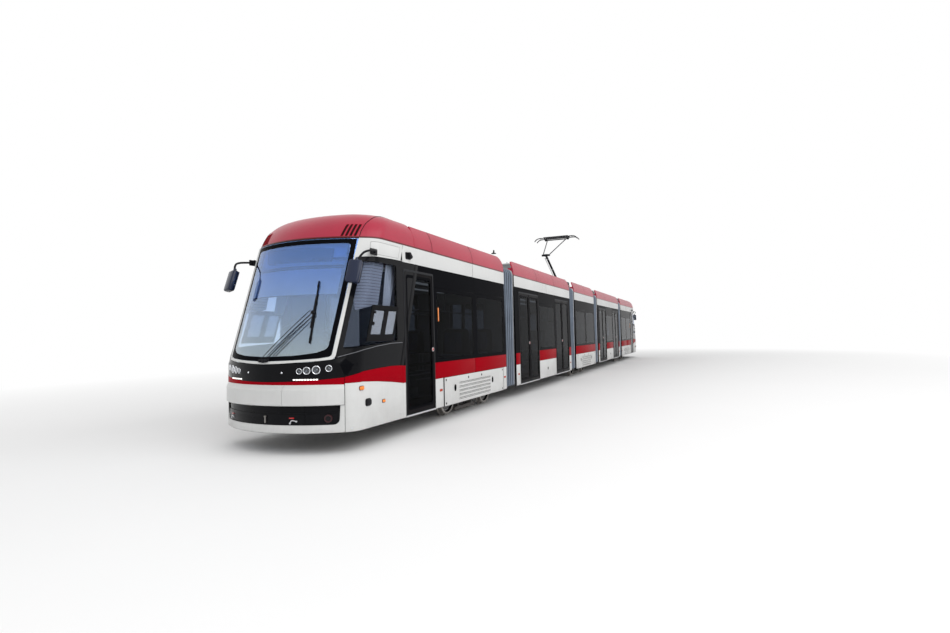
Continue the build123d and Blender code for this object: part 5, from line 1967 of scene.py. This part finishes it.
def dome_slots(make):
    """A shape laid at each slot of the dome, on both sides."""
    tree = surface_of("front_cab_car_roof")
    across = Vector(SLOT_FEET[1]) - Vector(SLOT_FEET[0])
    shapes = []
    for k in range(SLOTS):
        foot = Vector(SLOT_FEET[0]).lerp(Vector(SLOT_FEET[1]), k / (SLOTS - 1))
        head = Vector(SLOT_HEADS[0]).lerp(Vector(SLOT_HEADS[1]), k / (SLOTS - 1))
        for side in (-1, 1):
            flip = Vector((1, side, 1))
            place = on_skin(tree, (foot + head) / 2 * flip, (head - foot) * flip, across * flip)
            shapes.append(wrapped(sliced(make((head - foot).length), 0.02), place))
    return joined(*shapes)


def slot_floor(length):
    """Dark floor of a slot."""
    return plate(rectangle(-length / 2, length / 2, -0.015, 0.015), 0.006, 0.0, 0.0012, 0)


def slot_rim(length):
    """Raised rim round a slot."""
    half = length / 2
    return plate(
        rectangle(-half - 0.005, half + 0.005, -0.020, 0.020), 0.009, -0.001, 0.004, 0.0015,
        [rectangle(-half, half, -0.015, 0.015)], 0.006,
    )


both_ends("dome_slots", dome_slots(slot_floor), SEAL, "cab_car")
both_ends("dome_slot_rims", dome_slots(slot_rim), RED_PAINT, "cab_car")


# Equipment boxes on the roofs: x0, x1, half width, height over the roof plate

ROOF_PLATE_Z = 3.040
CAB_CAR_BOXES = [(-12.5, -11.4, 0.80, 0.33), (-11.2, -9.3, 0.86, 0.36)]
DOOR_CAR_BOXES = [(-7.5, -5.7, 0.86, 0.34), (-5.3, -3.2, 0.82, 0.37)]
MID_CAR_BOXES = [(-1.4, -0.5, 0.70, 0.16), (0.9, 1.4, 0.70, 0.16)]


def box_lids(boxes):
    """Pressed lids with ribs across."""
    parts = []
    for x0, x1, half, height in boxes:
        top = ROOF_PLATE_Z + height
        parts.append(brick(x0 - 0.012, x1 + 0.012, -half - 0.012, half + 0.012, top - 0.035, top + 0.006, 0.004))
        ribs = max(2, round((x1 - x0) / 0.30))
        for k in range(ribs):
            x = x0 + (k + 0.5) * (x1 - x0) / ribs
            parts.append(brick(x - 0.035, x + 0.035, -half + 0.06, half - 0.06, top + 0.002, top + 0.016, 0.006))
    return joined(*parts)


def box_sides(boxes):
    """Panels with vent slots along both sides of each box."""
    parts = []
    for x0, x1, half, height in boxes:
        low, high = ROOF_PLATE_Z + 0.03, ROOF_PLATE_Z + height - 0.045
        slots = []
        count = int((x1 - x0 - 0.2) / 0.06)
        for k in range(count):
            x = x0 + 0.1 + (k + 0.5) * (x1 - x0 - 0.2) / count
            slots.append(rectangle(x - 0.012, x + 0.012, low + 0.03, high - 0.02))
        for side in (-1, 1):
            flat = plate(rectangle(x0 + 0.01, x1 - 0.01, low, high), 0.005, 0.0, 0.004, 0.001, slots, 0.008)
            parts.append(wrapped(flat, lambda x, up, out, side=side, half=half: Vector((x, side * (half + out), up))))
    return joined(*parts)


def box_fittings(boxes):
    """Latches along the lids and a lifting eye at each corner."""
    parts = []
    for x0, x1, half, height in boxes:
        top = ROOF_PLATE_Z + height
        pitches = max(1, round((x1 - x0) / 0.45) - 1)
        for k in range(max(2, round((x1 - x0) / 0.45))):
            x = x0 + 0.12 + k * (x1 - x0 - 0.24) / pitches
            parts += twin_bricks(x - 0.018, x + 0.018, half + 0.010, half + 0.022, top - 0.075, top - 0.010, 0.004)
        for side in (-1, 1):
            for x in (x0 + 0.06, x1 - 0.06):
                eye = spun(collar(0.014, 0.026, -0.005, 0.005, 20), pi / 2, "Y")
                parts.append(moved(eye, x, side * (half - 0.08), top + 0.026))
    return joined(*parts)


def roof_ducts(x0, x1):
    """Cable ducts along both sides of the roof, with straps across them."""
    low = ROOF_PLATE_Z - 0.004
    parts = twin_bricks(x0 + 0.10, x1 - 0.10, 0.915, 0.985, low, ROOF_PLATE_Z + 0.060, 0.010)
    count = int((x1 - x0) / 0.6)
    for k in range(count):
        x = x0 + 0.25 + k * (x1 - x0 - 0.5) / max(1, count - 1)
        parts += twin_bricks(x - 0.015, x + 0.015, 0.909, 0.991, low, ROOF_PLATE_Z + 0.066)
    return joined(*parts)


def add_roof(car, boxes, x0, x1, add):
    """Boxes, fittings and ducts on one car's roof."""
    add(f"{car}_box_lids", box_lids(boxes), BOX_PAINT, car)
    add(f"{car}_box_sides", box_sides(boxes), BOX_PAINT, car)
    add(f"{car}_box_fittings", box_fittings(boxes), ALUMINIUM, car)
    add(f"{car}_roof_ducts", roof_ducts(x0, x1), DUCT_GREY, car)


add_roof("cab_car", CAB_CAR_BOXES, -12.8, CAB_END, both_ends)
add_roof("door_car", DOOR_CAR_BOXES, DOOR_X0, DOOR_X1, both_ends)
add_roof("mid_car", MID_CAR_BOXES, -MID_X, MID_X, add_piece)


def roof_antenna():
    """Low streamlined aerial on a round foot."""
    foot = lathe([(0, 0), (0.060, 0), (0.058, 0.010), (0.045, 0.016), (0, 0.016)], 32)
    fin = plate(
        [(-0.045, 0.0), (0.045, 0.0), (0.030, 0.085), (0.005, 0.095)], [0, 0, 0.012, 0.012], -0.010, 0.010,
        0.005,
    )
    return joined(foot, spun(fin, pi / 2, "X"))


def dome_aerial(x, y):
    """Low round aerial standing on the dome."""
    foot = surface_of("front_cab_car_roof").ray_cast(Vector((x, y, 5)), Vector((0, 0, -1)))[0]
    puck = lathe([(0, -0.020), (0.125, -0.020), (0.122, 0.018), (0.095, 0.034), (0, 0.040)], 40)
    return moved(puck, *foot)


both_ends("dome_aerial", dome_aerial(-13.25, -0.25), PLASTIC, "cab_car")
ANTENNA_AT = (-8.80, -0.955, 3.455)
both_ends("antenna", moved(roof_antenna(), *ANTENNA_AT), PLASTIC, "cab_car")


# Pantograph

PANTO_FOOT = (0.450, 3.640)
PANTO_ARM = 1.800
PANTO_RAISE = radians(27.6)
PANTO_KNEE = (PANTO_FOOT[0] - PANTO_ARM * cos(PANTO_RAISE), PANTO_FOOT[1] + PANTO_ARM * sin(PANTO_RAISE))
PANTO_HEAD = (PANTO_FOOT[0], PANTO_FOOT[1] + 2 * PANTO_ARM * sin(PANTO_RAISE))
PANTO_POSTS = [(x, y) for x in (-0.300, 0.600) for y in (-0.380, 0.380)]
SPRING_Y = (-0.120, 0.120)
SPRING_Z = 3.600
BEAM_X = (-0.160, 0.160)
STRIP_Z = PANTO_HEAD[1] + 0.090


def insulators():
    """Ribbed insulators round the four posts."""
    profile = [(0.046, 0.0)]
    for k in range(7):
        z = 0.02 + k * 0.052
        profile += [(0.052, z), (0.082, z + 0.014), (0.080, z + 0.020), (0.052, z + 0.030)]
    profile += [(0.046, 0.395), (0.046, 0.0)]
    return joined(*[moved(lathe(profile, 32), x, y, 3.085) for x, y in PANTO_POSTS])


def base_fittings():
    """Feet, caps and bolts of the posts, and the rods of the two raising springs."""
    parts = []
    foot = [(0.0, 0.0), (0.095, 0.0), (0.095, 0.014), (0.050, 0.022), (0.050, 0.045), (0, 0.045)]
    for x, y in PANTO_POSTS:
        parts.append(moved(lathe(foot, 32), x, y, 3.038))
        parts.append(moved(bolt(0.016, 0.014), x, y, 3.580))
        for k in range(4):
            angle = pi / 4 + k * pi / 2
            parts.append(moved(bolt(0.009, 0.008), x + 0.074 * cos(angle), y + 0.074 * sin(angle), 3.052))
    for y in SPRING_Y:
        parts.append(rod((-0.28, y, SPRING_Z), (0.36, y, SPRING_Z), 0.008))
        for x in (-0.29, 0.36):
            parts.append(brick(x - 0.02, x + 0.02, y - 0.02, y + 0.02, 3.575, 3.625, 0.004))
    return joined(*parts)


def coil_springs():
    """Raising springs wound round their rods."""
    coils = []
    for y in SPRING_Y:
        points = []
        turns, per_turn = 16, 8
        for k in range(turns * per_turn + 1):
            angle = 2 * pi * k / per_turn
            x = -0.26 + 0.60 * k / (turns * per_turn)
            points.append((x, y + 0.026 * cos(angle), SPRING_Z + 0.026 * sin(angle)))
        coils.append(pipe(points, 0.0045, 8))
    return joined(*coils)


def carbon_strips():
    """Two contact strips with tapered ends on the head's beams."""
    parts = []
    for x in BEAM_X:
        outline = [(-0.520, 0.0), (0.520, 0.0), (0.480, 0.022), (-0.480, 0.022)]
        strip = plate(outline, 0.003, -0.018, 0.018, 0.003)
        middle = PANTO_HEAD[0] + x
        parts.append(wrapped(strip, lambda y, up, out, middle=middle: Vector((middle + out, y, STRIP_Z + up))))
    return joined(*parts)


def head_horns():
    """Down-curved horns at both ends of the two beams, tied together."""
    parts = []
    z = PANTO_HEAD[1]
    for side in (-1, 1):
        for x in BEAM_X:
            points = [(0.600, 0.076), (0.700, 0.076), (0.800, 0.040), (0.868, -0.042)]
            parts.append(pipe([(PANTO_HEAD[0] + x, side * y, z + up) for y, up in points], 0.018, 12))
        parts.append(rod(*[(PANTO_HEAD[0] + x, side * 0.640, z + 0.062) for x in BEAM_X], 0.008))
    return joined(*parts)


def head_frame():
    """Beams and cheek plates of the head."""
    parts = []
    z = PANTO_HEAD[1]
    for x in BEAM_X:
        middle = PANTO_HEAD[0] + x
        parts.append(brick(middle - 0.020, middle + 0.020, -0.665, 0.665, z + 0.060, z + 0.090, 0.004))
    for side in (-1, 1):
        hole = circle(0, 0, 0.0215, 24)
        outline = [
            (-0.180, 0.060), (-0.180, 0.030), (-0.045, -0.030), (0.045, -0.030), (0.180, 0.030), (0.180, 0.060),
        ]
        cheek = plate(outline, 0.012, -0.018, 0.018, 0.004, [hole])
        y = side * 0.450
        parts.append(wrapped(cheek, lambda a, up, out, y=y: Vector((PANTO_HEAD[0] + a, y + out, z + up))))
    return joined(*parts)


def arm_fittings(points, radius, y=0.0):
    """Clamps along an arm, at some shares of its length."""
    (x0, z0), (x1, z1) = points
    parts = []
    for share in (0.12, 0.5, 0.88):
        middle = Vector((x0 + share * (x1 - x0), y, z0 + share * (z1 - z0)))
        ring = collar(radius - 0.002, radius + 0.008, -0.02, 0.02, 24)
        parts.append(aimed(ring, middle, (x1 - x0, 0, z1 - z0), (0, 1, 0)))
    return parts


def lower_arm_fittings():
    """Clamps and a guide rod along the lower arm."""
    parts = arm_fittings((PANTO_FOOT, PANTO_KNEE), 0.040)
    along = Vector((PANTO_KNEE[0] - PANTO_FOOT[0], 0, PANTO_KNEE[1] - PANTO_FOOT[1])).normalized()
    foot = Vector((PANTO_FOOT[0], 0.085, PANTO_FOOT[1])) + 0.20 * along
    knee = Vector((PANTO_KNEE[0], 0.085, PANTO_KNEE[1])) - 0.20 * along
    parts.append(rod(foot, knee, 0.010))
    for share in (0.0, 1.0):
        middle = foot.lerp(knee, share)
        parts.append(rod(middle + Vector((0, 0.012, 0)), middle - Vector((0, 0.060, 0)), 0.012))
    return joined(*parts)


add_piece("pantograph_insulators", insulators(), INSULATOR, "mid_car")
add_piece("pantograph_base_fittings", base_fittings(), ALUMINIUM, "mid_car")
add_piece("pantograph_springs", coil_springs(), SPRING_STEEL, "mid_car")
add_piece("pantograph_strips", carbon_strips(), CARBON, "head")
add_piece("pantograph_horns", head_horns(), PANTO_STEEL, "head")
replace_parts(add_piece("pantograph_head_frame", head_frame(), PANTO_STEEL, "head"), "pantograph_head")
add_piece("pantograph_lower_fittings", lower_arm_fittings(), ALUMINIUM, "lower_arm")


# Saloon: seats, poles, podests and ceiling lights

SEAT_Y = 0.870
SEAT_HALF = 0.215
PODEST_Z = 0.730
LOW_FLOOR = 0.380
CEILING_Z = 2.600
SEAT_PAN = 0.365
SEAT_BEND = 0.070
SEAT_BACK = 0.480
SEAT_LEAN = radians(8)
BEND_END = SEAT_PAN + SEAT_BEND * (pi / 2 - SEAT_LEAN)
# Seats of each front half, as x, the way they face, and the height they stand on
CAB_CAR_SEATS = [(-11.1, -1, PODEST_Z), (-10.3, 1, PODEST_Z), (-9.8, -1, PODEST_Z), (-9.1, 1, PODEST_Z)]
DOOR_CAR_SEATS = [(-5.8, -1, LOW_FLOOR), (-4.6, 1, LOW_FLOOR)]
MID_CAR_SEATS = [(-0.9, -1, PODEST_Z), (-0.2, 1, PODEST_Z), (0.2, -1, PODEST_Z), (0.9, 1, PODEST_Z)]


def on_seat(x, y, facing, floor_z):
    """Sets (across, run, out) on a seat: run goes from the front edge, round the bend and up the back."""
    bend = pi / 2 - SEAT_LEAN

    def place(across, run, out):
        if run < SEAT_PAN:
            forward, height = 0.205 - run, 0.425 + out
        elif run < SEAT_PAN + SEAT_BEND * bend:
            angle = (run - SEAT_PAN) / SEAT_BEND
            reach = SEAT_BEND - out
            forward = 0.205 - SEAT_PAN - reach * sin(angle)
            height = 0.425 + SEAT_BEND - reach * cos(angle)
        else:
            up = run - SEAT_PAN - SEAT_BEND * bend
            reach = SEAT_BEND - out
            forward = 0.205 - SEAT_PAN - reach * sin(bend) - up * sin(SEAT_LEAN) * 0.5
            height = 0.425 + SEAT_BEND - reach * cos(bend) + up * cos(SEAT_LEAN)
        return Vector((x + facing * forward, y + across, floor_z + height))
    return place


def seat_shell():
    """Moulded shell, laid out flat."""
    outline = rectangle(-SEAT_HALF, SEAT_HALF, 0.0, BEND_END + SEAT_BACK)
    return sliced(plate(outline, [0.05, 0.05, 0.09, 0.09], 0.0, 0.014, 0.004), 0.06, 0.035)


def pad(low, high, thick):
    """Three upholstered channels side by side, crowned, with rounded edges."""
    parts = []
    for k in (-1, 0, 1):
        centre = k * 0.124
        bm = plate(rectangle(centre - 0.060, centre + 0.060, low, high), 0.022, 0.014, 0.014 + thick, 0.010)
        sliced(bm, 0.04, 0.04)
        for v in bm.verts:
            if v.co.z > 0.015:
                across = (v.co.x - centre) / 0.060
                along = 2 * (v.co.y - low) / (high - low) - 1
                v.co.z += 0.006 * (1 - across ** 2) + 0.010 * (1 - along ** 2)
        parts.append(bm)
    return joined(*parts)


def seat_pads():
    """Pads of the seat and of its back, laid out flat."""
    return joined(pad(0.020, SEAT_PAN - 0.005, 0.018), pad(BEND_END + 0.020, BEND_END + 0.410, 0.014))


def seat_legs(x, y, floor_z):
    """Foot plate, two legs and their cross bars under a seat."""
    parts = [brick(x - 0.13, x + 0.13, y - 0.10, y + 0.10, floor_z, floor_z + 0.012, 0.004)]
    for dx in (-0.09, 0.09):
        parts.append(rod((x + dx, y, floor_z + 0.006), (x + dx * 0.9, y, floor_z + 0.425), 0.022))
        parts.append(rod((x + dx * 0.9, y - 0.17, floor_z + 0.412), (x + dx * 0.9, y + 0.17, floor_z + 0.412), 0.012))
    return joined(*parts)


def seat_handles(x, y, facing, floor_z):
    """Looped grab handle on the corner by the aisle."""
    side = -1 if y > 0 else 1
    back = x - facing * 0.245
    points = [
        (back, y + side * 0.17, floor_z + 0.86), (back, y + side * 0.235, floor_z + 0.90),
        (back, y + side * 0.235, floor_z + 0.985), (back, y + side * 0.12, floor_z + 0.99),
    ]
    return pipe(points, 0.012, 12)


def each_seat(make, seats):
    """A seat part made once and set on every seat, at both sides of the aisle."""
    shapes = []
    for x, facing, floor_z in seats:
        for side in (-1, 1):
            shapes.append(wrapped(make(), on_seat(x, side * SEAT_Y, facing, floor_z)))
    return joined(*shapes)


def podest_boxes(x0, x1):
    """Covered boxes over the wheels."""
    return joined(*twin_bricks(x0, x1, 0.392, 1.122, 0.455, PODEST_Z, 0.018, 3))


def podest_edges(x0, x1):
    """Metal step edges along the aisle."""
    return joined(*twin_bricks(x0 + 0.004, x1 - 0.004, 0.386, 0.430, PODEST_Z - 0.030, PODEST_Z + 0.004))


def grab_poles(places, rails):
    """Poles from floor to ceiling, and ceiling rails on short drops."""
    parts = []
    flange = [(0, 0), (0.045, 0), (0.043, 0.008), (0.022, 0.022), (0, 0.022)]
    for x, y in places:
        parts.append(rod((x, y, LOW_FLOOR), (x, y, CEILING_Z), 0.017, 20))
        parts.append(moved(lathe(flange, 24), x, y, LOW_FLOOR))
        parts.append(moved(spun(lathe(flange, 24), pi, "X"), x, y, CEILING_Z))
    for x0, x1, y in rails:
        for side in (-1, 1):
            parts.append(rod((x0, side * y, 2.05), (x1, side * y, 2.05), 0.016, 16))
            for k in range(3):
                x = x0 + 0.05 + k * (x1 - x0 - 0.10) / 2
                parts.append(rod((x, side * y, 2.05), (x, side * (y + 0.02), CEILING_Z), 0.012, 12))
                parts.append(moved(spun(lathe(flange, 20), pi, "X"), x, side * (y + 0.02), CEILING_Z))
    return joined(*parts)


def ceiling_lights(x0, x1):
    """Long light panels on both sides of the ceiling."""
    return joined(*twin_bricks(x0 + 0.1, x1 - 0.1, 0.300, 0.400, CEILING_Z - 0.018, CEILING_Z - 0.002, 0.006))


def ticket_readers(places):
    """Small rounded boxes on the poles, tilted back."""
    parts = []
    for x, y in places:
        box = brick(-0.07, 0.07, -0.045, 0.045, -0.11, 0.11, 0.014, 3)
        parts.append(moved(spun(box, radians(12), "Y"), x, y, 1.45))
    return joined(*parts)


def fit_saloon(car, seats, podest, poles, rails, lights, readers, add):
    """The inside of one car."""
    add(f"{car}_seat_shells", each_seat(seat_shell, seats), SEAT_PLASTIC, car)
    made = add(f"{car}_seat_pads", each_seat(seat_pads, seats), SEAT_FABRIC, car)
    legs = [seat_legs(x, side * SEAT_Y, z) for x, _, z in seats for side in (-1, 1)]
    add(f"{car}_seat_legs", joined(*legs), ALUMINIUM, car)
    handles = [seat_handles(x, side * SEAT_Y, facing, z) for x, facing, z in seats for side in (-1, 1)]
    add(f"{car}_seat_handles", joined(*handles), GRAB_STEEL, car)
    if podest:
        add(f"{car}_podests", podest_boxes(*podest), PODEST_LINING, car)
        add(f"{car}_podest_edges", podest_edges(*podest), ALUMINIUM, car)
    add(f"{car}_grab_poles", grab_poles(poles, rails), GRAB_STEEL, car)
    add(f"{car}_ceiling_lights", ceiling_lights(*lights), LIGHT_DIFFUSER, car)
    if readers:
        add(f"{car}_ticket_readers", ticket_readers(readers), SEAT_PLASTIC, car)


fit_saloon(
    "cab_car", CAB_CAR_SEATS, (-11.464, -8.762), [(-12.0, -0.42), (-12.0, 0.42)], [(-11.9, -8.9, 0.45)],
    (-12.9, -8.8), [(-12.0, 0.42)], both_ends,
)
fit_saloon(
    "door_car", DOOR_CAR_SEATS, None, [(-6.35, -0.5), (-6.35, 0.5), (-4.05, -0.5), (-4.05, 0.5)],
    [(-7.6, -2.8, 0.50)], (-7.9, -2.5), [(-6.35, 0.5), (-4.05, -0.5)], both_ends,
)
fit_saloon(
    "mid_car", MID_CAR_SEATS, (-1.368, 1.368), [], [(-1.5, 1.5, 0.45)], (-1.6, 1.6), [], add_piece,
)
for end in ("front", "rear"):
    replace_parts(bpy.data.objects[f"{end}_cab_car_podests"], f"{end}_cab_car_interior")
    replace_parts(bpy.data.objects[f"{end}_door_car_seat_shells"], f"{end}_door_car_interior")
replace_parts(bpy.data.objects["mid_car_podests"], "mid_car_interior")


# Driver's cab

SHADE_FOOT = 2.170
PARTITION_X = -13.2175
BACK_TILT = radians(6)
HIP = (-13.60, 0, 1.03)
DESK_FRONT = -14.448


def across_cab(x, up, across):
    """Sets a flat plate in (x, up) across the cab."""
    return Vector((x, across, up))


def dashboard():
    """Desk under the windscreen with a raised binnacle, on its plinth."""
    desk = [(-14.45, 0.60), (-14.45, 1.10), (-14.40, 1.15), (-14.24, 1.13), (-14.20, 1.08), (-14.22, 0.60)]
    binnacle = [(-14.42, 1.14), (-14.36, 1.22), (-14.27, 1.20), (-14.25, 1.12)]
    body = wrapped(plate(desk, [0, 0.03, 0.03, 0.02, 0.02, 0], -0.80, 0.80, 0.006), across_cab)
    hood = wrapped(plate(binnacle, 0.02, -0.34, 0.34, 0.01), across_cab)
    plinth = brick(DESK_FRONT, -13.238, -0.898, 0.898, LOW_FLOOR, 0.600, 0.010)
    return joined(body, hood, plinth)


def desk_controls():
    """A row of push buttons and the driving lever."""
    button = [(0, 0), (0.016, 0), (0.016, 0.008), (0.012, 0.012), (0, 0.012)]
    knob = [(0, 0), (0.024, 0.004), (0.028, 0.022), (0.020, 0.044), (0, 0.050)]
    parts = [moved(lathe(button, 16), -14.30, -0.66 + k * 0.12, 1.139) for k in range(12)]
    parts.append(rod((-14.27, 0.46, 1.12), (-14.25, 0.46, 1.26), 0.010))
    parts.append(moved(lathe(knob, 20), -14.25, 0.46, 1.25))
    return joined(*parts)


def driver_shell():
    """Moulded driver's seat with arm rests on its column."""
    stem = [(0, 0), (0.16, 0), (0.15, 0.03), (0.07, 0.06), (0.06, 0.38), (0.10, 0.40), (0, 0.40)]
    pan = brick(-13.955, -13.545, -0.235, 0.235, 0.985, 1.015, 0.012)
    back = spun(brick(-13.620, -13.575, -0.225, 0.225, 1.03, 1.70, 0.018, 3), BACK_TILT, "Y", HIP)
    column = moved(lathe(stem, 32), -13.75, 0, 0.600)
    arms = twin_bricks(-13.86, -13.60, 0.225, 0.275, 1.215, 1.255, 0.014, 3)
    return joined(pan, back, column, *arms)


def driver_pads():
    """Seat, back and head cushions."""
    def cushion(x0, x1, y, z0, z1, tilt=0.0):
        bm = brick(x0, x1, -y, y, z0, z1, 0.022, 4)
        long_edges = [e for e in bm.edges if e.calc_length() > 0.08]
        bmesh.ops.subdivide_edges(bm, edges=long_edges, cuts=4, use_grid_fill=True)
        centre = Vector(((x0 + x1) / 2, 0, (z0 + z1) / 2))
        size = Vector(((x1 - x0) / 2, y, (z1 - z0) / 2))
        for v in bm.verts:
            away = v.co - centre
            share = [max(0.0, 1 - (away[k] / size[k]) ** 2) for k in range(3)]
            thin = min(range(3), key=lambda k: size[k])
            others = [k for k in range(3) if k != thin]
            v.co[thin] += 0.014 * share[others[0]] * share[others[1]] * (1 if away[thin] > 0 else -1)
        return spun(bm, tilt, "Y", HIP)
    return joined(
        cushion(-13.945, -13.625, 0.215, 1.012, 1.070), cushion(-13.665, -13.615, 0.200, 1.08, 1.50, BACK_TILT),
        cushion(-13.665, -13.620, 0.130, 1.53, 1.68, BACK_TILT),
    )


def cab_partition():
    """Bulkhead behind the driver, with an opening for its window and the frame of its door."""
    outline = rectangle(-1.085, 1.085, LOW_FLOOR + 0.002, CEILING_Z - 0.004)
    wall = plate(outline, 0, -0.016, 0.016, 0.002, [rectangle(-0.35, 0.35, 1.10, 2.40)], 0.03)
    leaf = rectangle(-0.39, 0.39, 0.43, 2.47)
    frame_ring = plate(rectangle(-0.42, 0.42, 0.40, 2.50), 0.03, 0.014, 0.022, 0.003, [leaf], 0.02)
    return stood_up(joined(wall, frame_ring), PARTITION_X)


def partition_handle():
    """Lever handle on the bulkhead's door."""
    return joined(
        brick(-13.245, -13.233, 0.315, 0.345, 1.00, 1.09, 0.003),
        rod((-13.262, 0.330, 1.045), (-13.262, 0.225, 1.045), 0.008),
        rod((-13.235, 0.330, 1.045), (-13.262, 0.330, 1.045), 0.008),
    )


def route_display():
    """Blank display box behind the top of the windscreen, with its surround."""
    glass = plate([(-0.577, 2.678), (0.665, 2.657), (0.660, 2.858), (-0.723, 2.924)], 0.01, -0.075, -0.055, 0.002)
    return wrapped(sliced(glass, 0.06), on_nose)


def display_header():
    """Panel across the cab's head that carries the display."""
    panel = plate(rectangle(-0.86, 0.86, 2.610, 2.945), 0.02, -0.100, -0.076, 0.004)
    return wrapped(sliced(panel, 0.06), on_nose)


def shade_rollers():
    """Roller of the windscreen's sun shade, its foot bar, and a short arm at the side."""
    roller = plate(rectangle(-0.860, 0.860, 2.555, 2.600), 0.010, -0.085, -0.045, 0.012)
    foot = plate(rectangle(-0.850, 0.850, SHADE_FOOT - 0.007, SHADE_FOOT + 0.007), 0.004, -0.064, -0.052, 0.003)
    arm = plate(rectangle(0.652, 0.900, 2.684, 2.716), 0.010, -0.058, -0.030, 0.005)
    return wrapped(sliced(joined(roller, foot, arm), 0.06), on_nose)


def cloth_on_nose(low, high, left, right, depth, wave, folds):
    """A thin cloth between two heights and two edges on the nose, waved by its folds."""
    bm = bmesh.new()
    bmesh.ops.create_grid(bm, x_segments=max(12, folds * 8), y_segments=16, size=0.5)
    for v in bm.verts:
        u, t = v.co.x + 0.5, v.co.y + 0.5
        a0, a1 = left(t), right(t)
        swing = wave * (1 - 0.4 * t) * sin(2 * pi * folds * u)
        v.co = Vector((a0 + u * (a1 - a0), low(u) + t * (high - low(u)), depth + swing))
    wrapped(bm, on_nose)
    bmesh.ops.solidify(bm, geom=bm.faces[:], thickness=0.0012)
    return bm


def straight_edge(a0, a1):
    """An edge of a cloth from its foot at a0 to its head at a1."""
    return lambda t: a0 + t * (a1 - a0)


def cab_blind():
    """Grey blind inside the cab's side window, its front edge bowed."""
    def front(t):
        return along_at(-14.232, 2.3) - 0.075 * (1 - (2 * t - 1.15) ** 2)
    rear = straight_edge(along_at(-13.70, 2.3), along_at(-13.74, 2.3))
    return cloth_on_nose(lambda u: 1.945 + 0.09 * u, 2.650, front, rear, -0.075, 0.0, 1)


def cab_curtain():
    """Pale curtain gathered at the window's rear."""
    head = [along_at(x, 2.3) for x in (-13.640, -13.340)]
    foot = [along_at(x, 2.3) for x in (-13.520, -13.330)]
    edges = [straight_edge(low, high) for low, high in zip(foot, head)]
    return cloth_on_nose(lambda u: 1.960, 2.655, *edges, -0.105, 0.014, 5)


def cab_front_curtain():
    """Pale curtain gathered behind the windscreen pillar."""
    def rear(t):
        return along_at(-14.47, 2.0) + 0.02 + 0.05 * t
    front = straight_edge(along_at(-14.60, 2.0), along_at(-14.49, 2.0))
    return cloth_on_nose(lambda u: 1.700 + 0.18 * u, 2.640, front, rear, -0.090, 0.010, 3)


def screen_shade():
    """Thin sun shade pulled part of the way down behind the windscreen."""
    edges = [straight_edge(along, along) for along in (-0.845, 0.845)]
    return cloth_on_nose(lambda u: SHADE_FOOT, 2.580, *edges, -0.058, 0.0, 2)


both_ends("dashboard", dashboard(), CAB_PLASTIC, "cab_car", replaces=["cab_desk_and_seat"])
both_ends("desk_controls", desk_controls(), PLASTIC, "cab_car")
both_ends("driver_seat", driver_shell(), SEAT_PLASTIC, "cab_car")
for piece in both_ends("driver_seat_pads", driver_pads(), CAB_FABRIC, "cab_car"):
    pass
both_ends("cab_partition", cab_partition(), CAB_LINING, "cab_car")
both_ends("partition_handle", partition_handle(), ALUMINIUM, "cab_car")
both_ends("route_display", route_display(), DISPLAY_BLACK, "cab_car")
both_ends("display_header", display_header(), HEADER_GREY, "cab_car")
both_ends("shade_rollers", shade_rollers(), PLASTIC, "cab_car")
CLOTHS = [
    # name, shape, finish, flat width and height in metres, how it is held
    ("side_blind", cab_blind, BLIND_CLOTH, (0.54, 0.66), "hung"),
    ("side_curtain", cab_curtain, CURTAIN_CLOTH, (0.36, 0.70), "gathered"),
    ("pillar_curtain", cab_front_curtain, PILLAR_CLOTH, (0.19, 0.87), "gathered"),
]
for piece in both_ends("screen_shade", screen_shade(), SHADE_CLOTH, "cab_car", 60):
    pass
for name, make, used, flat, held in CLOTHS:
    for side, cloth in (("near", make()), ("far", mirrored_y(make()))):
        for piece in both_ends(f"{side}_{name}", cloth, used, "cab_car", 60):
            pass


# Finishes of the CAD nodes

SCREEN_HALF = 0.95
SCREEN_BACK = 13.2
NODE_FINISHES = {
    "cab_shell": NOSE_SHELL,
    "cab_car_walls": SHELL,
    "door_car_walls": SHELL,
    "mid_car_walls": SHELL,
    "cab_car_roof": ROOF_PAINT,
    "door_car_roof": ROOF_PAINT,
    "mid_car_roof": ROOF_PAINT,
    "cab_car_glass": GLASS,
    "door_car_glass": GLASS,
    "mid_car_glass": GLASS,
    "cab_car_doors": DOOR_BLACK,
    "door_car_doors": DOOR_BLACK,
    "tow_cover": PLASTIC,
    "cab_car_underframe": DARK_STEEL,
    "door_car_underframe": DARK_STEEL,
    "mid_car_underframe": DARK_STEEL,
    "bogie_frame": BOGIE_STEEL,
    "mid_bogie_frame": BOGIE_STEEL,
    "pantograph_base": PANTO_STEEL,
    "pantograph_lower_arm": PANTO_STEEL,
    "pantograph_upper_arm": PANTO_STEEL,
}


# Finishes laid on the CAD nodes, and the view transform

for node, finish_used in NODE_FINISHES.items():
    for name in (f"front_{node}", f"rear_{node}", node):
        if name in nodes:
            mesh = nodes[name].data
            mesh.materials.clear()
            mesh.materials.append(finish_used)

for end in ("front", "rear"):
    panes = nodes[f"{end}_cab_car_glass"].data
    panes.materials.append(SCREEN_GLASS)
    for face in panes.polygons:
        if abs(face.center.y) < SCREEN_HALF and abs(face.center.x) > SCREEN_BACK:
            face.material_index = 1

scene.view_settings.view_transform = "Standard"
